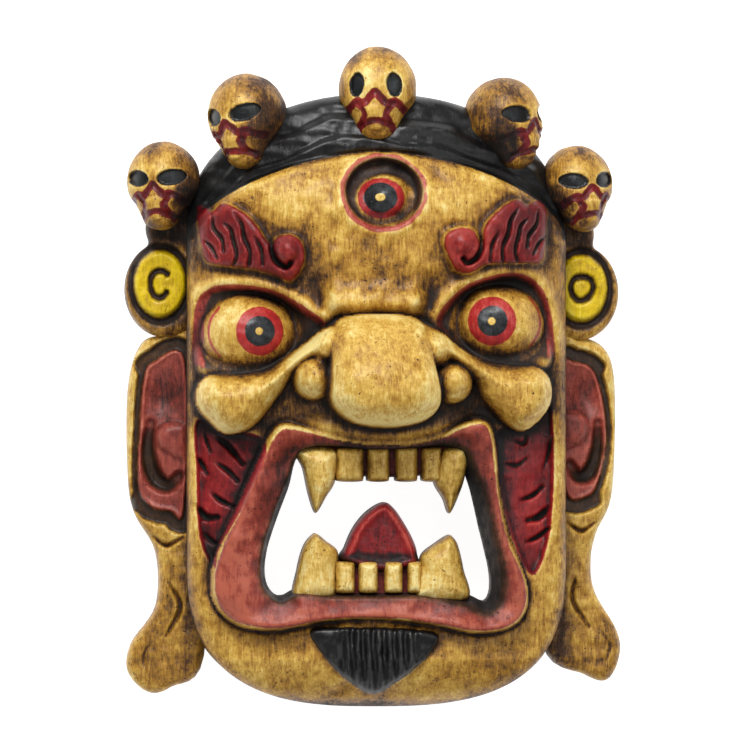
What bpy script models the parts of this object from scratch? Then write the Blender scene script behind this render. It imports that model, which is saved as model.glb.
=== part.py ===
"""A carved wooden cham mask with five skulls, a third eye, bared teeth and long ears.

It lies on its flat back rim: face up (+Z), crown towards +Y, origin under the middle of its outline.
The carving is laid out in carving units (a four-hundredth of the height, 1 mm on this mask) and scaled at the end.
"""

import math

import bmesh
import bpy
import numpy as np

# Overall size, metres.
MASK_HEIGHT = 0.400
MASK_WIDTH = 0.303
MASK_DEPTH = 0.147

# Thickness of the carved shell, metres.
RIM_WIDTH = 0.016
FRONT_WALL = 0.019
EAR_THICKNESS = 0.026
EAR_BACK = 0.008

# Fineness of the carving before it is thinned to few faces, metres.
FACE_STEP = 0.0018
EAR_STEP = 0.0018

# Triangles kept when thinned.
FACE_TRIANGLES = 3400
EAR_TRIANGLES = 300
DISC_TRIANGLES = 170
SKULL_TRIANGLES = 270

UNIT = MASK_HEIGHT / 400

# The head block, carving units.
HEAD_HALF = 115
CROWN_Y = 86
CROWN_RISE = 84
CHIN_Y = -111
CHIN_DROP = 87
SIDE_TOP = 62
HAIRLINE_HALF = 111
HAIRLINE_RISE = 49


def soft_step(low, high, value):
    """Rises smoothly from 0 at low to 1 at high."""
    share = np.clip((value - low) / (high - low), 0, 1)
    return share * share * (3 - 2 * share)


def join_high(first, second, blend):
    """The higher of two heights, with a fillet about as wide as blend."""
    share = np.clip(0.5 + 0.5 * (first - second) / blend, 0, 1)
    return second + (first - second) * share + blend * share * (1 - share)


def mound(z, share, foot, rise, blend):
    """Adds a lump that stands rise over its foot where share is 1, and nothing where it is 0."""
    return join_high(z, np.where(share > 0, foot + rise * share, foot - 90), blend)


def dome(x, y, middle, radii, turn=0.0):
    """Half a ball: 1 at the middle, 0 from the radii outwards."""
    cos, sin = math.cos(math.radians(turn)), math.sin(math.radians(turn))
    across = ((x - middle[0]) * cos + (y - middle[1]) * sin) / radii[0]
    along = ((y - middle[1]) * cos - (x - middle[0]) * sin) / radii[1]
    return np.sqrt(np.clip(1 - across**2 - along**2, 0, None))


def oval(x, y, middle, radii, turn=0.0):
    """About the distance inwards from the edge of an oval, negative outside."""
    cos, sin = math.cos(math.radians(turn)), math.sin(math.radians(turn))
    across = ((x - middle[0]) * cos + (y - middle[1]) * sin) / radii[0]
    along = ((y - middle[1]) * cos - (x - middle[0]) * sin) / radii[1]
    return (1 - np.hypot(across, along)) * min(radii)


def smooth_line(points, closed, steps=5):
    """A smooth line through the points, as short straight runs."""
    points = np.array(points, float)
    if closed:
        ring = np.vstack([points[-1], points, points[:2]])
    else:
        ring = np.vstack([2 * points[0] - points[1], points, 2 * points[-1] - points[-2]])
    line = []
    for a, b, c, d in zip(ring, ring[1:], ring[2:], ring[3:]):
        for t in np.arange(steps) / steps:
            line.append(0.5 * (2 * b + (c - a) * t + (2 * a - 5 * b + 4 * c - d) * t**2 + (3 * (b - c) + d - a) * t**3))
    if not closed:
        line.append(points[-1])
    return np.array(line)


def to_line(x, y, line):
    """Distance from the line, and the share of the way along it."""
    nearest = np.full(np.shape(x), 1e9)
    place = np.zeros(np.shape(x))
    for number, (start, end) in enumerate(zip(line, line[1:])):
        run = end - start
        share = ((x - start[0]) * run[0] + (y - start[1]) * run[1]) / (run @ run)
        share = np.clip(share, 0, 1)
        gap = np.hypot(x - start[0] - share * run[0], y - start[1] - share * run[1])
        closer = gap < nearest
        nearest = np.where(closer, gap, nearest)
        place = np.where(closer, (number + share) / (len(line) - 1), place)
    return nearest, place


def inwards(x, y, points):
    """Distance inwards from a smooth closed outline, negative outside it."""
    loop = smooth_line(points, True)
    loop = np.vstack([loop, loop[0]])
    gap, _ = to_line(x, y, loop)
    inside = np.zeros(np.shape(x), bool)
    for start, end in zip(loop, loop[1:]):
        if start[1] == end[1]:
            continue
        spans = (start[1] > y) != (end[1] > y)
        inside ^= spans & (x < start[0] + (y - start[1]) * (end[0] - start[0]) / (end[1] - start[1]))
    return np.where(inside, gap, -gap)


def table(inset, top, rounding, slope):
    """A flat-topped rise with a rounded shoulder, from the distance inwards."""
    bend = np.clip(rounding - inset, 0, rounding)
    shoulder = top - rounding + np.sqrt(np.clip(rounding**2 - bend**2, 0, None))
    return np.where(inset > 0, shoulder, top - rounding + slope * inset)


def groove(x, y, points, width, depth, end=0.0):
    """How much a gouge takes away along a line: deepest in its middle, or kept up to that share at its end."""
    gap, place = to_line(x, y, smooth_line(points, False))
    taper = np.sqrt(np.clip(np.sin(np.pi * np.clip(place, 0.04, 0.96)), 0, 1))
    taper = np.maximum(taper, end * soft_step(0.3, 0.8, place))
    return depth * taper * np.clip(1 - gap / (0.5 * width), 0, 1)


def pillow(inset, reach):
    """A stuffed form over an outline: 0 at its edge, 1 from the reach inwards."""
    share = np.clip(inset / reach, 0, 1)
    return np.sqrt(share * (2 - share))


def height_along(y, points):
    """A smooth profile of heights along the face."""
    line = smooth_line(sorted(points), False)
    return np.interp(y, line[:, 0], line[:, 1])


def head_reach(x, y, rise, half=HEAD_HALF):
    """1 on a head outline whose crown is that high, less inside it."""
    above = np.clip(y - CROWN_Y, 0, None) / rise
    below = np.clip(CHIN_Y - y, 0, None) / CHIN_DROP
    across = np.abs(x) / half
    power = np.where(y > 0, 2.15, 2.7)
    return (across**power + above**power + below**power) ** (1 / power)


# Outlines on the face, carving units: the left of the picture is -X.
EYE_LEFT = ((-26, 20), (-40, 36), (-66, 51), (-92, 54), (-107, 48), (-111, 28), (-109, 2), (-88, -4), (-60, 3), (-38, 14))
EYE_RIGHT = ((29, 29), (40, 46), (60, 58), (83, 61), (98, 52), (105, 30), (104, 6), (84, 4), (60, 10), (42, 19))
BROW_LEFT = (
    (-110, 101), (-105, 103), (-101, 99), (-94, 104), (-82, 98), (-75, 91), (-69, 82), (-65.5, 79), (-63, 83),
    (-56, 85), (-49, 82), (-46, 75), (-47, 66), (-54, 57), (-63, 60), (-76, 64), (-91, 66), (-104, 69), (-108, 82),
)  # fmt: skip
BROW_RIGHT = (
    (39, 85), (46, 89), (55, 88), (59, 82), (61, 79), (62, 88), (67, 96), (77, 104), (84, 106), (89, 103), (96, 106),
    (102, 101), (101, 88), (99, 70), (88, 68), (74, 68), (64, 67), (54, 62), (46, 63), (41, 70), (38, 78),
)  # fmt: skip
BROW_FLUTES = (
    ((101, 97), (99, 86), (94, 75)),
    ((92, 92), (88, 82), (86, 72)),
    ((84, 94), (81, 83), (78, 70)),
    ((74, 82), (71, 75), (70, 68)),
    ((66, 81), (65.3, 74), (62.4, 68.4), (57, 65.4), (54.5, 68)),
)
NOSE = (
    (-27, 33), (-14, 37), (12, 37), (25, 32), (28, 20), (34, -6), (33, -18), (23, -26), (3, -29), (-17, -26),
    (-29, -16), (-31, 0), (-30, 20),
)  # fmt: skip
CHEEK_LEFT = (
    (-18, 33), (-34, 26), (-45, 17), (-57, 9), (-70, 3), (-88, 1), (-104, 1), (-111, -9), (-108, -21), (-93, -34),
    (-75, -29), (-61, -12), (-50, 4), (-38, 12), (-24, 18),
)  # fmt: skip
CHEEK_RIGHT = (
    (18, 33), (36, 24), (47, 15), (62, 9), (80, 7), (96, 6), (104, -3), (103, -18), (91, -31), (80, -31), (65, -18),
    (57, -4), (48, 4), (38, 11), (24, 18),
)  # fmt: skip
LIPS = (
    (-62, -32), (-28, -36), (0, -40), (30, -37), (63, -29), (69, -45), (74, -85), (86, -116), (88, -134), (77, -149),
    (55, -152), (0, -144), (-60, -150), (-85, -147), (-99, -124), (-94, -102), (-80, -72), (-69, -47),
)  # fmt: skip
MOUTH = (
    (-44, -44), (0, -45), (42, -44), (53, -60), (61, -90), (68, -120), (65, -134), (53, -130), (30, -128), (0, -128),
    (-30, -128), (-48, -126), (-60, -131), (-68, -122), (-67, -102), (-55, -68),
)  # fmt: skip
BEARD = ((-42, -151), (-20, -149), (18, -150), (36, -154), (30, -167), (12, -182), (-3, -190), (-19, -182), (-34, -167))
FLAME_LEFT = ((-110, -26), (-92, -31), (-70, -37), (-73, -60), (-96, -101), (-99, -114), (-108, -96), (-110, -56))
FLAME_RIGHT = ((104, -15), (90, -27), (71, -32), (72, -55), (79, -92), (93, -119), (104, -96), (107, -50))
EAR_LEFT = (
    (-104, 22), (-130, 25), (-143, 18), (-150, -8), (-150, -58), (-146, -82), (-133, -106), (-133, -138),
    (-148, -161), (-150, -178), (-138, -190), (-124, -187), (-104, -168), (-104, -70),
)  # fmt: skip
EAR_RIGHT = (
    (104, 24), (127, 24), (141, 17), (147, 0), (147.5, -38), (145, -74), (136, -94), (132.5, -111),
    (135, -130), (148.5, -153), (150.5, -168), (143, -183), (129, -180), (104, -161), (104, -70),
)  # fmt: skip
PANEL_LEFT = ((-115, 10), (-133, 9), (-143, -12), (-143, -48), (-138, -72), (-127, -82), (-112, -78), (-110, -20))
PANEL_RIGHT = ((112, 8), (126, 10), (138, -2), (142, -26), (140, -56), (132, -72), (120, -76), (110, -60))


def forehead_and_hair(x, y):
    """The smooth block of the head: brow, temples, chin and the fluted band of hair."""
    across = np.abs(x) / HEAD_HALF
    profile = ((-199, 58), (-190, 72), (-172, 84), (-150, 84), (-30, 86), (45, 90), (72, 99), (108, 100), (138, 82))
    middle = height_along(np.clip(y, -199, 138), profile)
    skin = SIDE_TOP + (middle - SIDE_TOP) * (1 - np.clip(across, 0, 1) ** 2.8)
    inner = head_reach(x, y, HAIRLINE_RISE, HAIRLINE_HALF) - 1
    outer = 1 - head_reach(x, y, CROWN_RISE)
    share = np.clip(inner / np.maximum(inner + np.clip(outer, 0, None), 1e-6), 0, 1)
    strand = 1.6 * np.cos(2 * math.pi * (3.2 * share + 0.08 * np.sin(x / 9)))
    band = 50 + 36 * (1 - np.clip(across, 0, 1) ** 2.2) * np.sqrt(np.clip(1 - 0.72 * share**2, 0, 1)) + strand
    above = y > CROWN_Y - 16
    in_band = soft_step(0.0, 0.05, inner) * above
    return skin * (1 - in_band) + band * in_band - 3.5 * np.exp(-((inner / 0.03) ** 2)) * above


def third_eye(x, y, z):
    """A round pit in the forehead with an eyeball in it."""
    inset = oval(x, y, (1.5, 110), (25, 22.5))
    deep = 7 + 4 * soft_step(105, 122, y)
    z = z - deep * soft_step(0.5, 4.5, inset)
    return mound(z, dome(x, y, (3, 105.5), (18.5, 16)), 80, 18, 0.8)


def eye(x, y, z, outline, ball, radii):
    """A socket with a raised lid over it and a bulging eyeball that rests on the cheek."""
    inset = inwards(x, y, outline)
    low = soft_step(ball[1] - 4, ball[1] - 22, y)
    floor = 73 - 5 * soft_step(80, 110, np.abs(x)) + 12 * low
    z = z + 4.5 * np.exp(-(((inset + 3.2) / 4.2) ** 2)) * (1 - 0.8 * low)
    z = z + (floor - z) * soft_step(-0.6, 3.6, inset)
    return mound(z, dome(x, y, ball, radii), 60, 35, 0.8 + 3.5 * low)


def brow(x, y, z, outline, curl, side, shift, lift):
    """A flame-shaped brow with deep flutes and a curl at its inner end."""
    inset = inwards(x, y, outline)
    z = z + 4.5 * soft_step(-0.7, 1.0, inset) + 3.5 * pillow(inset, 6)
    z = mound(z, dome(x, y, curl, (9.6, 9.8)), 92, 15, 1.2)
    for flute in BROW_FLUTES:
        z = z - groove(x, y, [(side * (a - shift), b + lift) for a, b in flute], 4.6, 4.6, 0.8)
    return z


def cheek(x, y, z, outline):
    """The pear-shaped cheek, drawn out to a ridge that runs up under the eye to the nose."""
    lift = 20 * soft_step(72, 32, np.abs(x))
    return mound(z, pillow(inwards(x, y, outline), 15), 77 + lift, 27 - 0.4 * lift, 2.0)


def nose(x, y, z):
    """The rolled bridge, the blunt nose, its two wings and the lip above the mouth."""
    z = mound(z, dome(x, y, (0, -4), (66, 44)), 66, 32, 8.0)
    z = mound(z, dome(x, y, (0, -31), (60, 17)), 78, 17, 4.0)
    z = z + 14 * np.exp(-(((y - 46) / 10.5) ** 2)) * np.exp(-(((x + 4) / 31) ** 4))
    z = z - groove(x, y, ((-33, 31), (-16, 36), (-2, 37), (12, 36), (29, 31)), 7, 6)
    for middle, radii in (((-41, 2), (11.5, 14.5)), ((44, -2.5), (11, 13))):
        z = mound(z, dome(x, y, middle, radii), 84, 34, 1.5)
    for outline in (CHEEK_LEFT, CHEEK_RIGHT):
        z = cheek(x, y, z, outline)
    profile = ((-40, 124), (-24, 141), (-10, 147), (6, 144), (24, 131), (40, 112))
    top = height_along(np.clip(y, -40, 40), profile) - 6 * (np.abs(x) / 34) ** 2.4
    return join_high(z, table(inwards(x, y, NOSE), 0, 12, 13) + top, 1.5)


def lips(x, y, z):
    """Thick lips drawn back round the open mouth."""
    outer = inwards(x, y, LIPS)
    inner = -inwards(x, y, MOUTH)
    crest = 100 - 10 * soft_step(55, 100, np.abs(x))
    lip = table(outer, 0, 4, 5.5) + crest
    wall = 5.0 + 5.0 * soft_step(20, 60, x) - 2.5 * soft_step(-70, -48, y)
    slope = 11 * (1 - soft_step(0, 24, inner))
    lip = lip - slope - (crest - 74) * (1 - soft_step(-0.5, 1, inner / wall)) ** 1.2
    z = z - 2.2 * np.exp(-(((outer + 2.2) / 2.2) ** 2))
    return np.where(outer > -2, np.where(outer > 1, lip, join_high(z, lip, 0.5)), z)


def flames(x, y, z, outline, side):
    """The sunken side of the cheek, cut into flames by wedges."""
    inset = inwards(x, y, outline)
    z = z - 6 * soft_step(-0.5, 3, inset)
    for number in range(5):
        start = -36 - 15.5 * number
        edge = 107 if number % 2 else 77 + 2.4 * number
        reach = -13 if number % 2 else 15
        path = ((side * edge, start - 2), (side * (edge + 0.5 * reach), start), (side * (edge + reach), start - 8))
        z = z - groove(x, y, path, 6, 5.5) * (inset > -1)
    return z


def face(x, y):
    """Height of the carved front of the head over the back rim."""
    z = forehead_and_hair(x, y)
    z = third_eye(x, y, z)
    z = eye(x, y, z, EYE_LEFT, (-77.5, 25), (31, 27))
    z = eye(x, y, z, EYE_RIGHT, (72, 31), (30, 26.5))
    z = flames(x, y, z, FLAME_LEFT, -1)
    z = flames(x, y, z, FLAME_RIGHT, 1)
    z = brow(x, y, z, BROW_LEFT, (-55.8, 75.6), -1, 0, 0)
    z = brow(x, y, z, BROW_RIGHT, (48.4, 79.6), 1, 5, 2.5)
    z = nose(x, y, z)
    hair = inwards(x, y, BEARD)
    middle = soft_step(30, 16, np.abs(x + 1))
    z = z + soft_step(-0.5, 2.5, hair) * (2.5 + 1.3 * middle * np.cos(2 * math.pi * x / 9) + 2.0 * pillow(hair, 12))
    z = lips(x, y, z)
    edge = (1 - head_reach(x, y, CROWN_RISE)) * HEAD_HALF
    return np.minimum(z, z - 7 + np.sqrt(np.clip(49 - np.clip(7 - edge, 0, 7) ** 2, 0, None)))


def ear(x, y, outline, panel, side):
    """Height of the front of an ear: rim, sunken panel, knob, lobe and its cuts."""
    inset = inwards(x, y, outline)
    slope = 4 - 8 * (np.abs(x) - 108) / 42
    z = table(inset, EAR_BACK / UNIT + EAR_THICKNESS / UNIT, 7, 2) + slope
    inner = inwards(x, y, panel)
    z = z - 6 * np.exp(-(((inner + 2.2) / 2.6) ** 2)) - 2.0 * soft_step(0, 4, inner)
    z = z - 6 * np.exp(-(((x - side * 128) / 9) ** 2) - ((y + 11) / 13) ** 2)
    z = mound(z, dome(x, y, (side * 120, -37), (9, 10)), 22, 12, 2.0)
    z = z - 7 * np.exp(-(((x - side * 129) / 6.5) ** 2) - ((y + 57) / 10) ** 2)
    rise = 9 if side > 0 else 0
    smile = ((117, -97 + rise), (121, -99.5 + rise), (127, -101 + rise), (133, -99 + rise), (136, -95.5 + rise))
    crescent = ((125, -124), (120.5, -130), (119, -139), (120.5, -147), (126, -155))
    for path in (smile, crescent):
        z = z - groove(x, y, [(side * a, b) for a, b in path], 5, 5, 0.5)
    return z


def disc_plan(x, y, block, seat):
    """Distance inwards from the plan of an ear ornament's block and of the seat of the skull over it."""
    return join_high(oval(x, y, block, (25, 29)), oval(x, y, seat, (17, 15)), 4.0)


def ear_disc(x, y, block, disc, seat):
    """Height of the round ear ornament: its block, the disc and the ring cut in it."""
    z = table(disc_plan(x, y, block, seat), 38, 6, 2)
    inset = oval(x, y, disc, (16, 20.5))
    z = z - 3.5 * np.exp(-(((inset + 1.5) / 1.8) ** 2)) + 2.0 * soft_step(0, 2.5, inset)
    ring = np.hypot((x - disc[0]) / 0.84, y - disc[1])
    return z - 4 * np.exp(-(((ring - 7.6) / 1.9) ** 2))


def solid_object(name, builder):
    """A mesh object that holds what the builder made, with faces turned outwards."""
    bmesh.ops.recalc_face_normals(builder, faces=builder.faces)
    mesh = bpy.data.meshes.new(name)
    builder.to_mesh(mesh)
    builder.free()
    made = bpy.data.objects.new(name, mesh)
    bpy.context.scene.collection.objects.link(made)
    return made


def carved_block(name, box, step, height, floor):
    """A block whose top is a height over the ground, closed by a flat floor."""
    (left, low), (right, high) = box
    builder = bmesh.new()
    columns = max(2, round((right - left) / step))
    rows = max(2, round((high - low) / step))
    bmesh.ops.create_grid(builder, x_segments=columns, y_segments=rows, size=0.5)
    top = list(builder.verts)
    x = left + (np.array([v.co.x for v in top]) + 0.5) * (right - left)
    y = low + (np.array([v.co.y for v in top]) + 0.5) * (high - low)
    z = np.maximum(height(x, y), floor + 2)
    pushed = bmesh.ops.extrude_face_region(builder, geom=list(builder.faces))
    for vert, a, b, c in zip(top, x, y, z):
        vert.co = (a, b, c)
    lower = [item for item in pushed["geom"] if isinstance(item, bmesh.types.BMVert)]
    for vert in lower:
        vert.co = (left + (vert.co.x + 0.5) * (right - left), low + (vert.co.y + 0.5) * (high - low), floor)
    return solid_object(name, builder)


def prism(name, line, low, high):
    """An upright solid with the line as its plan."""
    builder = bmesh.new()
    foot = [builder.verts.new((a, b, low)) for a, b in line]
    base = builder.faces.new(foot)
    pushed = bmesh.ops.extrude_face_region(builder, geom=[base])
    lifted = [item for item in pushed["geom"] if isinstance(item, bmesh.types.BMVert)]
    bmesh.ops.translate(builder, verts=lifted, vec=(0, 0, high - low))
    return solid_object(name, builder)


def head_outline(inset):
    """The plan of the head, drawn in by inset."""
    line = []
    for number in range(96):
        angle = 2 * math.pi * number / 96
        cos, sin = math.cos(angle), math.sin(angle)
        power = 2.15 if sin > 0 else 2.7
        reach = (abs(cos) ** power + abs(sin) ** power) ** (-1 / power)
        across = (HEAD_HALF - inset) * cos * reach
        rise = (CROWN_RISE if sin > 0 else CHIN_DROP) - inset
        line.append((across, (CROWN_Y if sin > 0 else CHIN_Y) + rise * sin * reach))
    return line


def combine(target, other, operation):
    """Joins or cuts target with other, and keeps only the result."""
    change = target.modifiers.new(operation.title(), "BOOLEAN")
    change.operation = operation
    change.solver = "EXACT"
    change.object = other
    settle(target)
    bpy.data.objects.remove(other)


def thin(target, triangles):
    """Keeps about that many triangles, where the form needs them."""
    count = sum(len(face.vertices) - 2 for face in target.data.polygons)
    change = target.modifiers.new("Thin", "DECIMATE")
    change.ratio = triangles / count
    settle(target)


def settle(target):
    """Turns the modifiers of target into its mesh."""
    graph = bpy.context.evaluated_depsgraph_get()
    result = bpy.data.meshes.new_from_object(target.evaluated_get(graph))
    target.modifiers.clear()
    old = target.data
    target.data = result
    bpy.data.meshes.remove(old)


def hollow(x, y):
    """Height of the gouged-out back, following the face at a distance."""
    across = np.clip(np.abs(x) / (HEAD_HALF - RIM_WIDTH / UNIT), 0, 1)
    crown = np.clip((y - 40) / 115, 0, 1)
    chin = np.clip((-80 - y) / 105, 0, 1)
    top = 93 - FRONT_WALL / UNIT
    return 22 + (top - 22) * (1 - across**3.2) * (1 - crown**3) * (1 - chin**3)


def skull(name, place, turn, roll, size, wide_eyes):
    """A small skull: high dome, sunken eyes, brow, cheek bones and a narrow jaw."""
    builder = bmesh.new()
    bmesh.ops.create_icosphere(builder, subdivisions=4, radius=1)
    way = np.array([v.co for v in builder.verts])
    x, y, z = way.T
    drop = np.clip(-y, 0, 1)
    narrow = 1 - 0.12 * soft_step(0.1, 0.4, drop) + 0.20 * soft_step(0.45, 0.95, drop)
    across = 23.5 * x * narrow
    up = np.where(y > 0, 26, 31) * y
    jaw = soft_step(0.1, 0.8, drop)
    out = np.where(z > 0, 24, 26) * z * (1 - 0.30 * jaw) + 7.5 * jaw
    front = soft_step(0.0, 0.35, z)
    radii = (8.6, 5.2) if wide_eyes else (4.8, 7.4)
    for side in (-1, 1):
        out = out - front * 5.5 * soft_step(0, 0.55, dome(across, up, (side * 11.3, 2.5), radii, 6 * side))
        out = out + front * 1.6 * dome(across, up, (side * 11, -9), (6, 4))
    out = out + front * 2.6 * dome(across, up, (0, -17), (9, 9)) + front * 1.8 * dome(across, up, (0, -27), (7, 5))
    out = out - front * 1.6 * dome(across, up, (0, -21.5), (11, 2.4))
    a, b = math.radians(turn), math.radians(roll)
    turned = across * math.cos(a) + out * math.sin(a)
    out = out * math.cos(a) - across * math.sin(a)
    across = turned * math.cos(b) - up * math.sin(b)
    up = up * math.cos(b) + turned * math.sin(b)
    for vert, p, q, r in zip(builder.verts, across, up, out):
        vert.co = (place[0] + size * p, place[1] + size * q, place[2] + size * r)
    made = solid_object(name, builder)
    thin(made, SKULL_TRIANGLES)
    return made


def front_tooth(left, right, low, high):
    """The outline of a front tooth."""
    slim = 0.14 * (right - left)
    return ((left, low + 2), (left + slim, low), (right - slim, low), (right, low + 2), (right, high), (left, high))


def carved_form(name, line, low, edge, rise, bevel):
    """A tooth, a gum or a tongue: an upright solid with a raised, bevelled front."""
    builder = bmesh.new()
    foot = [builder.verts.new((a, b, low)) for a, b in line]
    base = builder.faces.new(foot)
    pushed = bmesh.ops.extrude_face_region(builder, geom=[base])
    lifted = [item for item in pushed["geom"] if isinstance(item, bmesh.types.BMVert)]
    front = [item for item in pushed["geom"] if isinstance(item, bmesh.types.BMFace)]
    bmesh.ops.translate(builder, verts=lifted, vec=(0, 0, edge - low))
    bmesh.ops.recalc_face_normals(builder, faces=builder.faces)
    bmesh.ops.inset_region(builder, faces=front, thickness=bevel, use_even_offset=True)
    raised = list({vert for face in front for vert in face.verts})
    bmesh.ops.translate(builder, verts=raised, vec=(0, 0, rise))
    return solid_object(name, builder)


def head():
    """The head with its hollow back and open mouth."""
    step = FACE_STEP / UNIT
    block = carved_block("Head", ((-119, -202), (119, 174)), step, face, -12)
    thin(block, FACE_TRIANGLES)
    combine(block, prism("Plan", head_outline(0), 0, 220), "INTERSECT")
    inside = carved_block("Inside", ((-112, -200), (112, 170)), 11, hollow, -30)
    combine(inside, prism("Inner plan", head_outline(RIM_WIDTH / UNIT), -20, 220), "INTERSECT")
    combine(block, inside, "DIFFERENCE")
    combine(block, prism("Mouth", smooth_line(MOUTH, True, 3), -20, 220), "DIFFERENCE")
    return block


def side_carvings():
    """The ears and their discs."""
    step = EAR_STEP / UNIT
    floor = EAR_BACK / UNIT
    for side, outline, panel, block, disc, seat in (
        (-1, EAR_LEFT, PANEL_LEFT, (-127, 53), (-131, 56), (-124, 86)),
        (1, EAR_RIGHT, PANEL_RIGHT, (124, 51), (126, 53.5), (118, 84)),
    ):
        edges = sorted((side * 100, side * 154))
        shell = carved_block(
            "Ear", ((edges[0], -194), (edges[1], 30)), step, lambda x, y: ear(x, y, outline, panel, side), -5
        )
        thin(shell, EAR_TRIANGLES)
        combine(shell, prism("Ear plan", smooth_line(outline, True, 4), floor, 90), "INTERSECT")
        yield shell
        edges = sorted((side * 98, side * 156))
        stud = carved_block(
            "Disc", ((edges[0], 20), (edges[1], 104)), step, lambda x, y: ear_disc(x, y, block, disc, seat), -5
        )
        thin(stud, DISC_TRIANGLES)
        plan = []
        for turn in range(32):
            angle = 2 * math.pi * turn / 32
            plan.append((block[0] + 25 * math.cos(angle), block[1] + 29 * math.sin(angle)))
        plinth = prism("Disc plan", plan, floor + 2, 90)
        shoulder = []
        for turn in range(24):
            angle = 2 * math.pi * turn / 24
            shoulder.append((seat[0] + 17 * math.cos(angle), seat[1] + 15 * math.sin(angle)))
        combine(plinth, prism("Seat plan", shoulder, floor + 2, 90), "UNION")
        combine(stud, plinth, "INTERSECT")
        yield stud


def skulls():
    """The crown of five skulls."""
    yield skull("Skull 1", (-0.5, 172, 72), -7, 0, 1.0, False)
    yield skull("Skull 2", (-79, 156, 60), -38, 9, 1.0, True)
    yield skull("Skull 3", (77, 154.5, 60), 40, 3, 0.98, True)
    yield skull("Skull 4", (-130.5, 117.5, 44), -20, 0, 0.94, True)
    yield skull("Skull 5", (122.5, 115.6, 44), 22, 3, 0.92, True)


UPPER_GUM = ((-47, -40), (-45, -52), (-26, -58), (6, -60), (34, -58), (49, -52), (51, -40), (3, -37))
LOWER_GUM = ((-50, -134), (-48, -116), (-26, -109), (0, -108), (25, -109), (49, -116), (51, -134), (0, -138))
UPPER_TEETH = ((-25, -10), (-7.5, 6), (9.5, 22.5), (25.5, 36))
LOWER_TEETH = ((-26, -15), (-12.5, -1.5), (2.5, 13.5), (16.5, 25))
TONGUE = (
    (-23, -112), (-22, -98), (-17, -88), (-9, -80), (3, -75), (10, -79), (17, -90), (22, -105), (21, -114), (0, -118),
)  # fmt: skip
UPPER_FANGS = (
    ((-50, -41), (-46, -55), (-43, -69), (-39.5, -80), (-37, -80.5), (-32, -72), (-26.5, -61), (-26.5, -41)),
    ((54, -40), (52, -60), (47.5, -73), (43.6, -81), (41.4, -80.5), (38.8, -73), (33, -62), (38, -40)),
)  # fmt: skip
LOWER_TUSKS = (
    ((-51, -135), (-49.5, -115), (-45.5, -101), (-40, -94.2), (-37, -94), (-32, -98), (-27.5, -104), (-27.5, -135)),
    ((26, -135), (26, -106), (34, -99.5), (41.5, -94.8), (44.5, -95.5), (48, -101), (51.3, -115), (53.6, -135)),
)  # fmt: skip


def row_of_teeth(name, gum, low, teeth, long_teeth):
    """A gum with the front teeth and the long teeth that grow from it."""
    row = carved_form(name, gum, low, 76.8, 2.1, 2.2)
    for outline in teeth:
        combine(row, carved_form("Tooth", outline, 68.3, 83, 5, 2), "UNION")
    for outline in long_teeth:
        combine(row, carved_form("Long tooth", outline, 65.3, 78.4, 10, 3.4), "UNION")
    return row


def mouth_parts():
    """The teeth, the gums that they stand on, and the tongue."""
    upper = [front_tooth(left, right, -62.5, -38.3) for left, right in UPPER_TEETH]
    lower = [front_tooth(left, right, -133, -110.5) for left, right in LOWER_TEETH]
    yield row_of_teeth("Upper teeth", UPPER_GUM, 61.4, upper, UPPER_FANGS)
    yield row_of_teeth("Lower teeth", LOWER_GUM, 60, lower, LOWER_TUSKS)
    yield carved_form("Tongue", TONGUE, 58, 77, 6, 5)


def paint():
    """Painted wood."""
    material = bpy.data.materials.new("Painted wood")
    material.use_nodes = True
    shader = next(node for node in material.node_tree.nodes if node.type == "BSDF_PRINCIPLED")
    shader.inputs["Base Color"].default_value = (0.55, 0.36, 0.12, 1)
    shader.inputs["Roughness"].default_value = 0.45
    return material


def set_in_place(mask):
    """Scales carving units to metres and centres the outline on the origin."""
    points = np.array([v.co for v in mask.data.vertices])
    low, high = points.min(axis=0), points.max(axis=0)
    middle = (low + high) / 2
    middle[2] = low[2]
    size = np.array((MASK_WIDTH, MASK_HEIGHT, MASK_DEPTH)) / (high - low)
    mask.data.vertices.foreach_set("co", ((points - middle) * size).ravel())
    mask.data.update()


def main():
    """Carves the mask as one solid."""
    for old in list(bpy.data.objects):
        bpy.data.objects.remove(old)
    mask = head()
    for added in (side_carvings, skulls, mouth_parts):
        for piece in added():
            combine(mask, piece, "UNION")
    set_in_place(mask)
    mask.name = "mask"
    mask.data.name = "mask"
    mask.data.materials.clear()
    mask.data.materials.append(paint())


main()
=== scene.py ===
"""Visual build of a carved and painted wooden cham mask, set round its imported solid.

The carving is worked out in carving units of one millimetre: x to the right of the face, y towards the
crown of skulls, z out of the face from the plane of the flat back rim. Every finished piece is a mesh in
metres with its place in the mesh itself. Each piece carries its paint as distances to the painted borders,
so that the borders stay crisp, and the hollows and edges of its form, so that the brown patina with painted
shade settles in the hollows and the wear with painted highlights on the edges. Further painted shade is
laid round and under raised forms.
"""

import logging
import math
from dataclasses import dataclass, field
from enum import Enum
from typing import Callable, Dict, Iterable, List, Optional, Sequence, Tuple

import bmesh
import bpy
import numpy as np
from mathutils import Matrix, Vector


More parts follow.
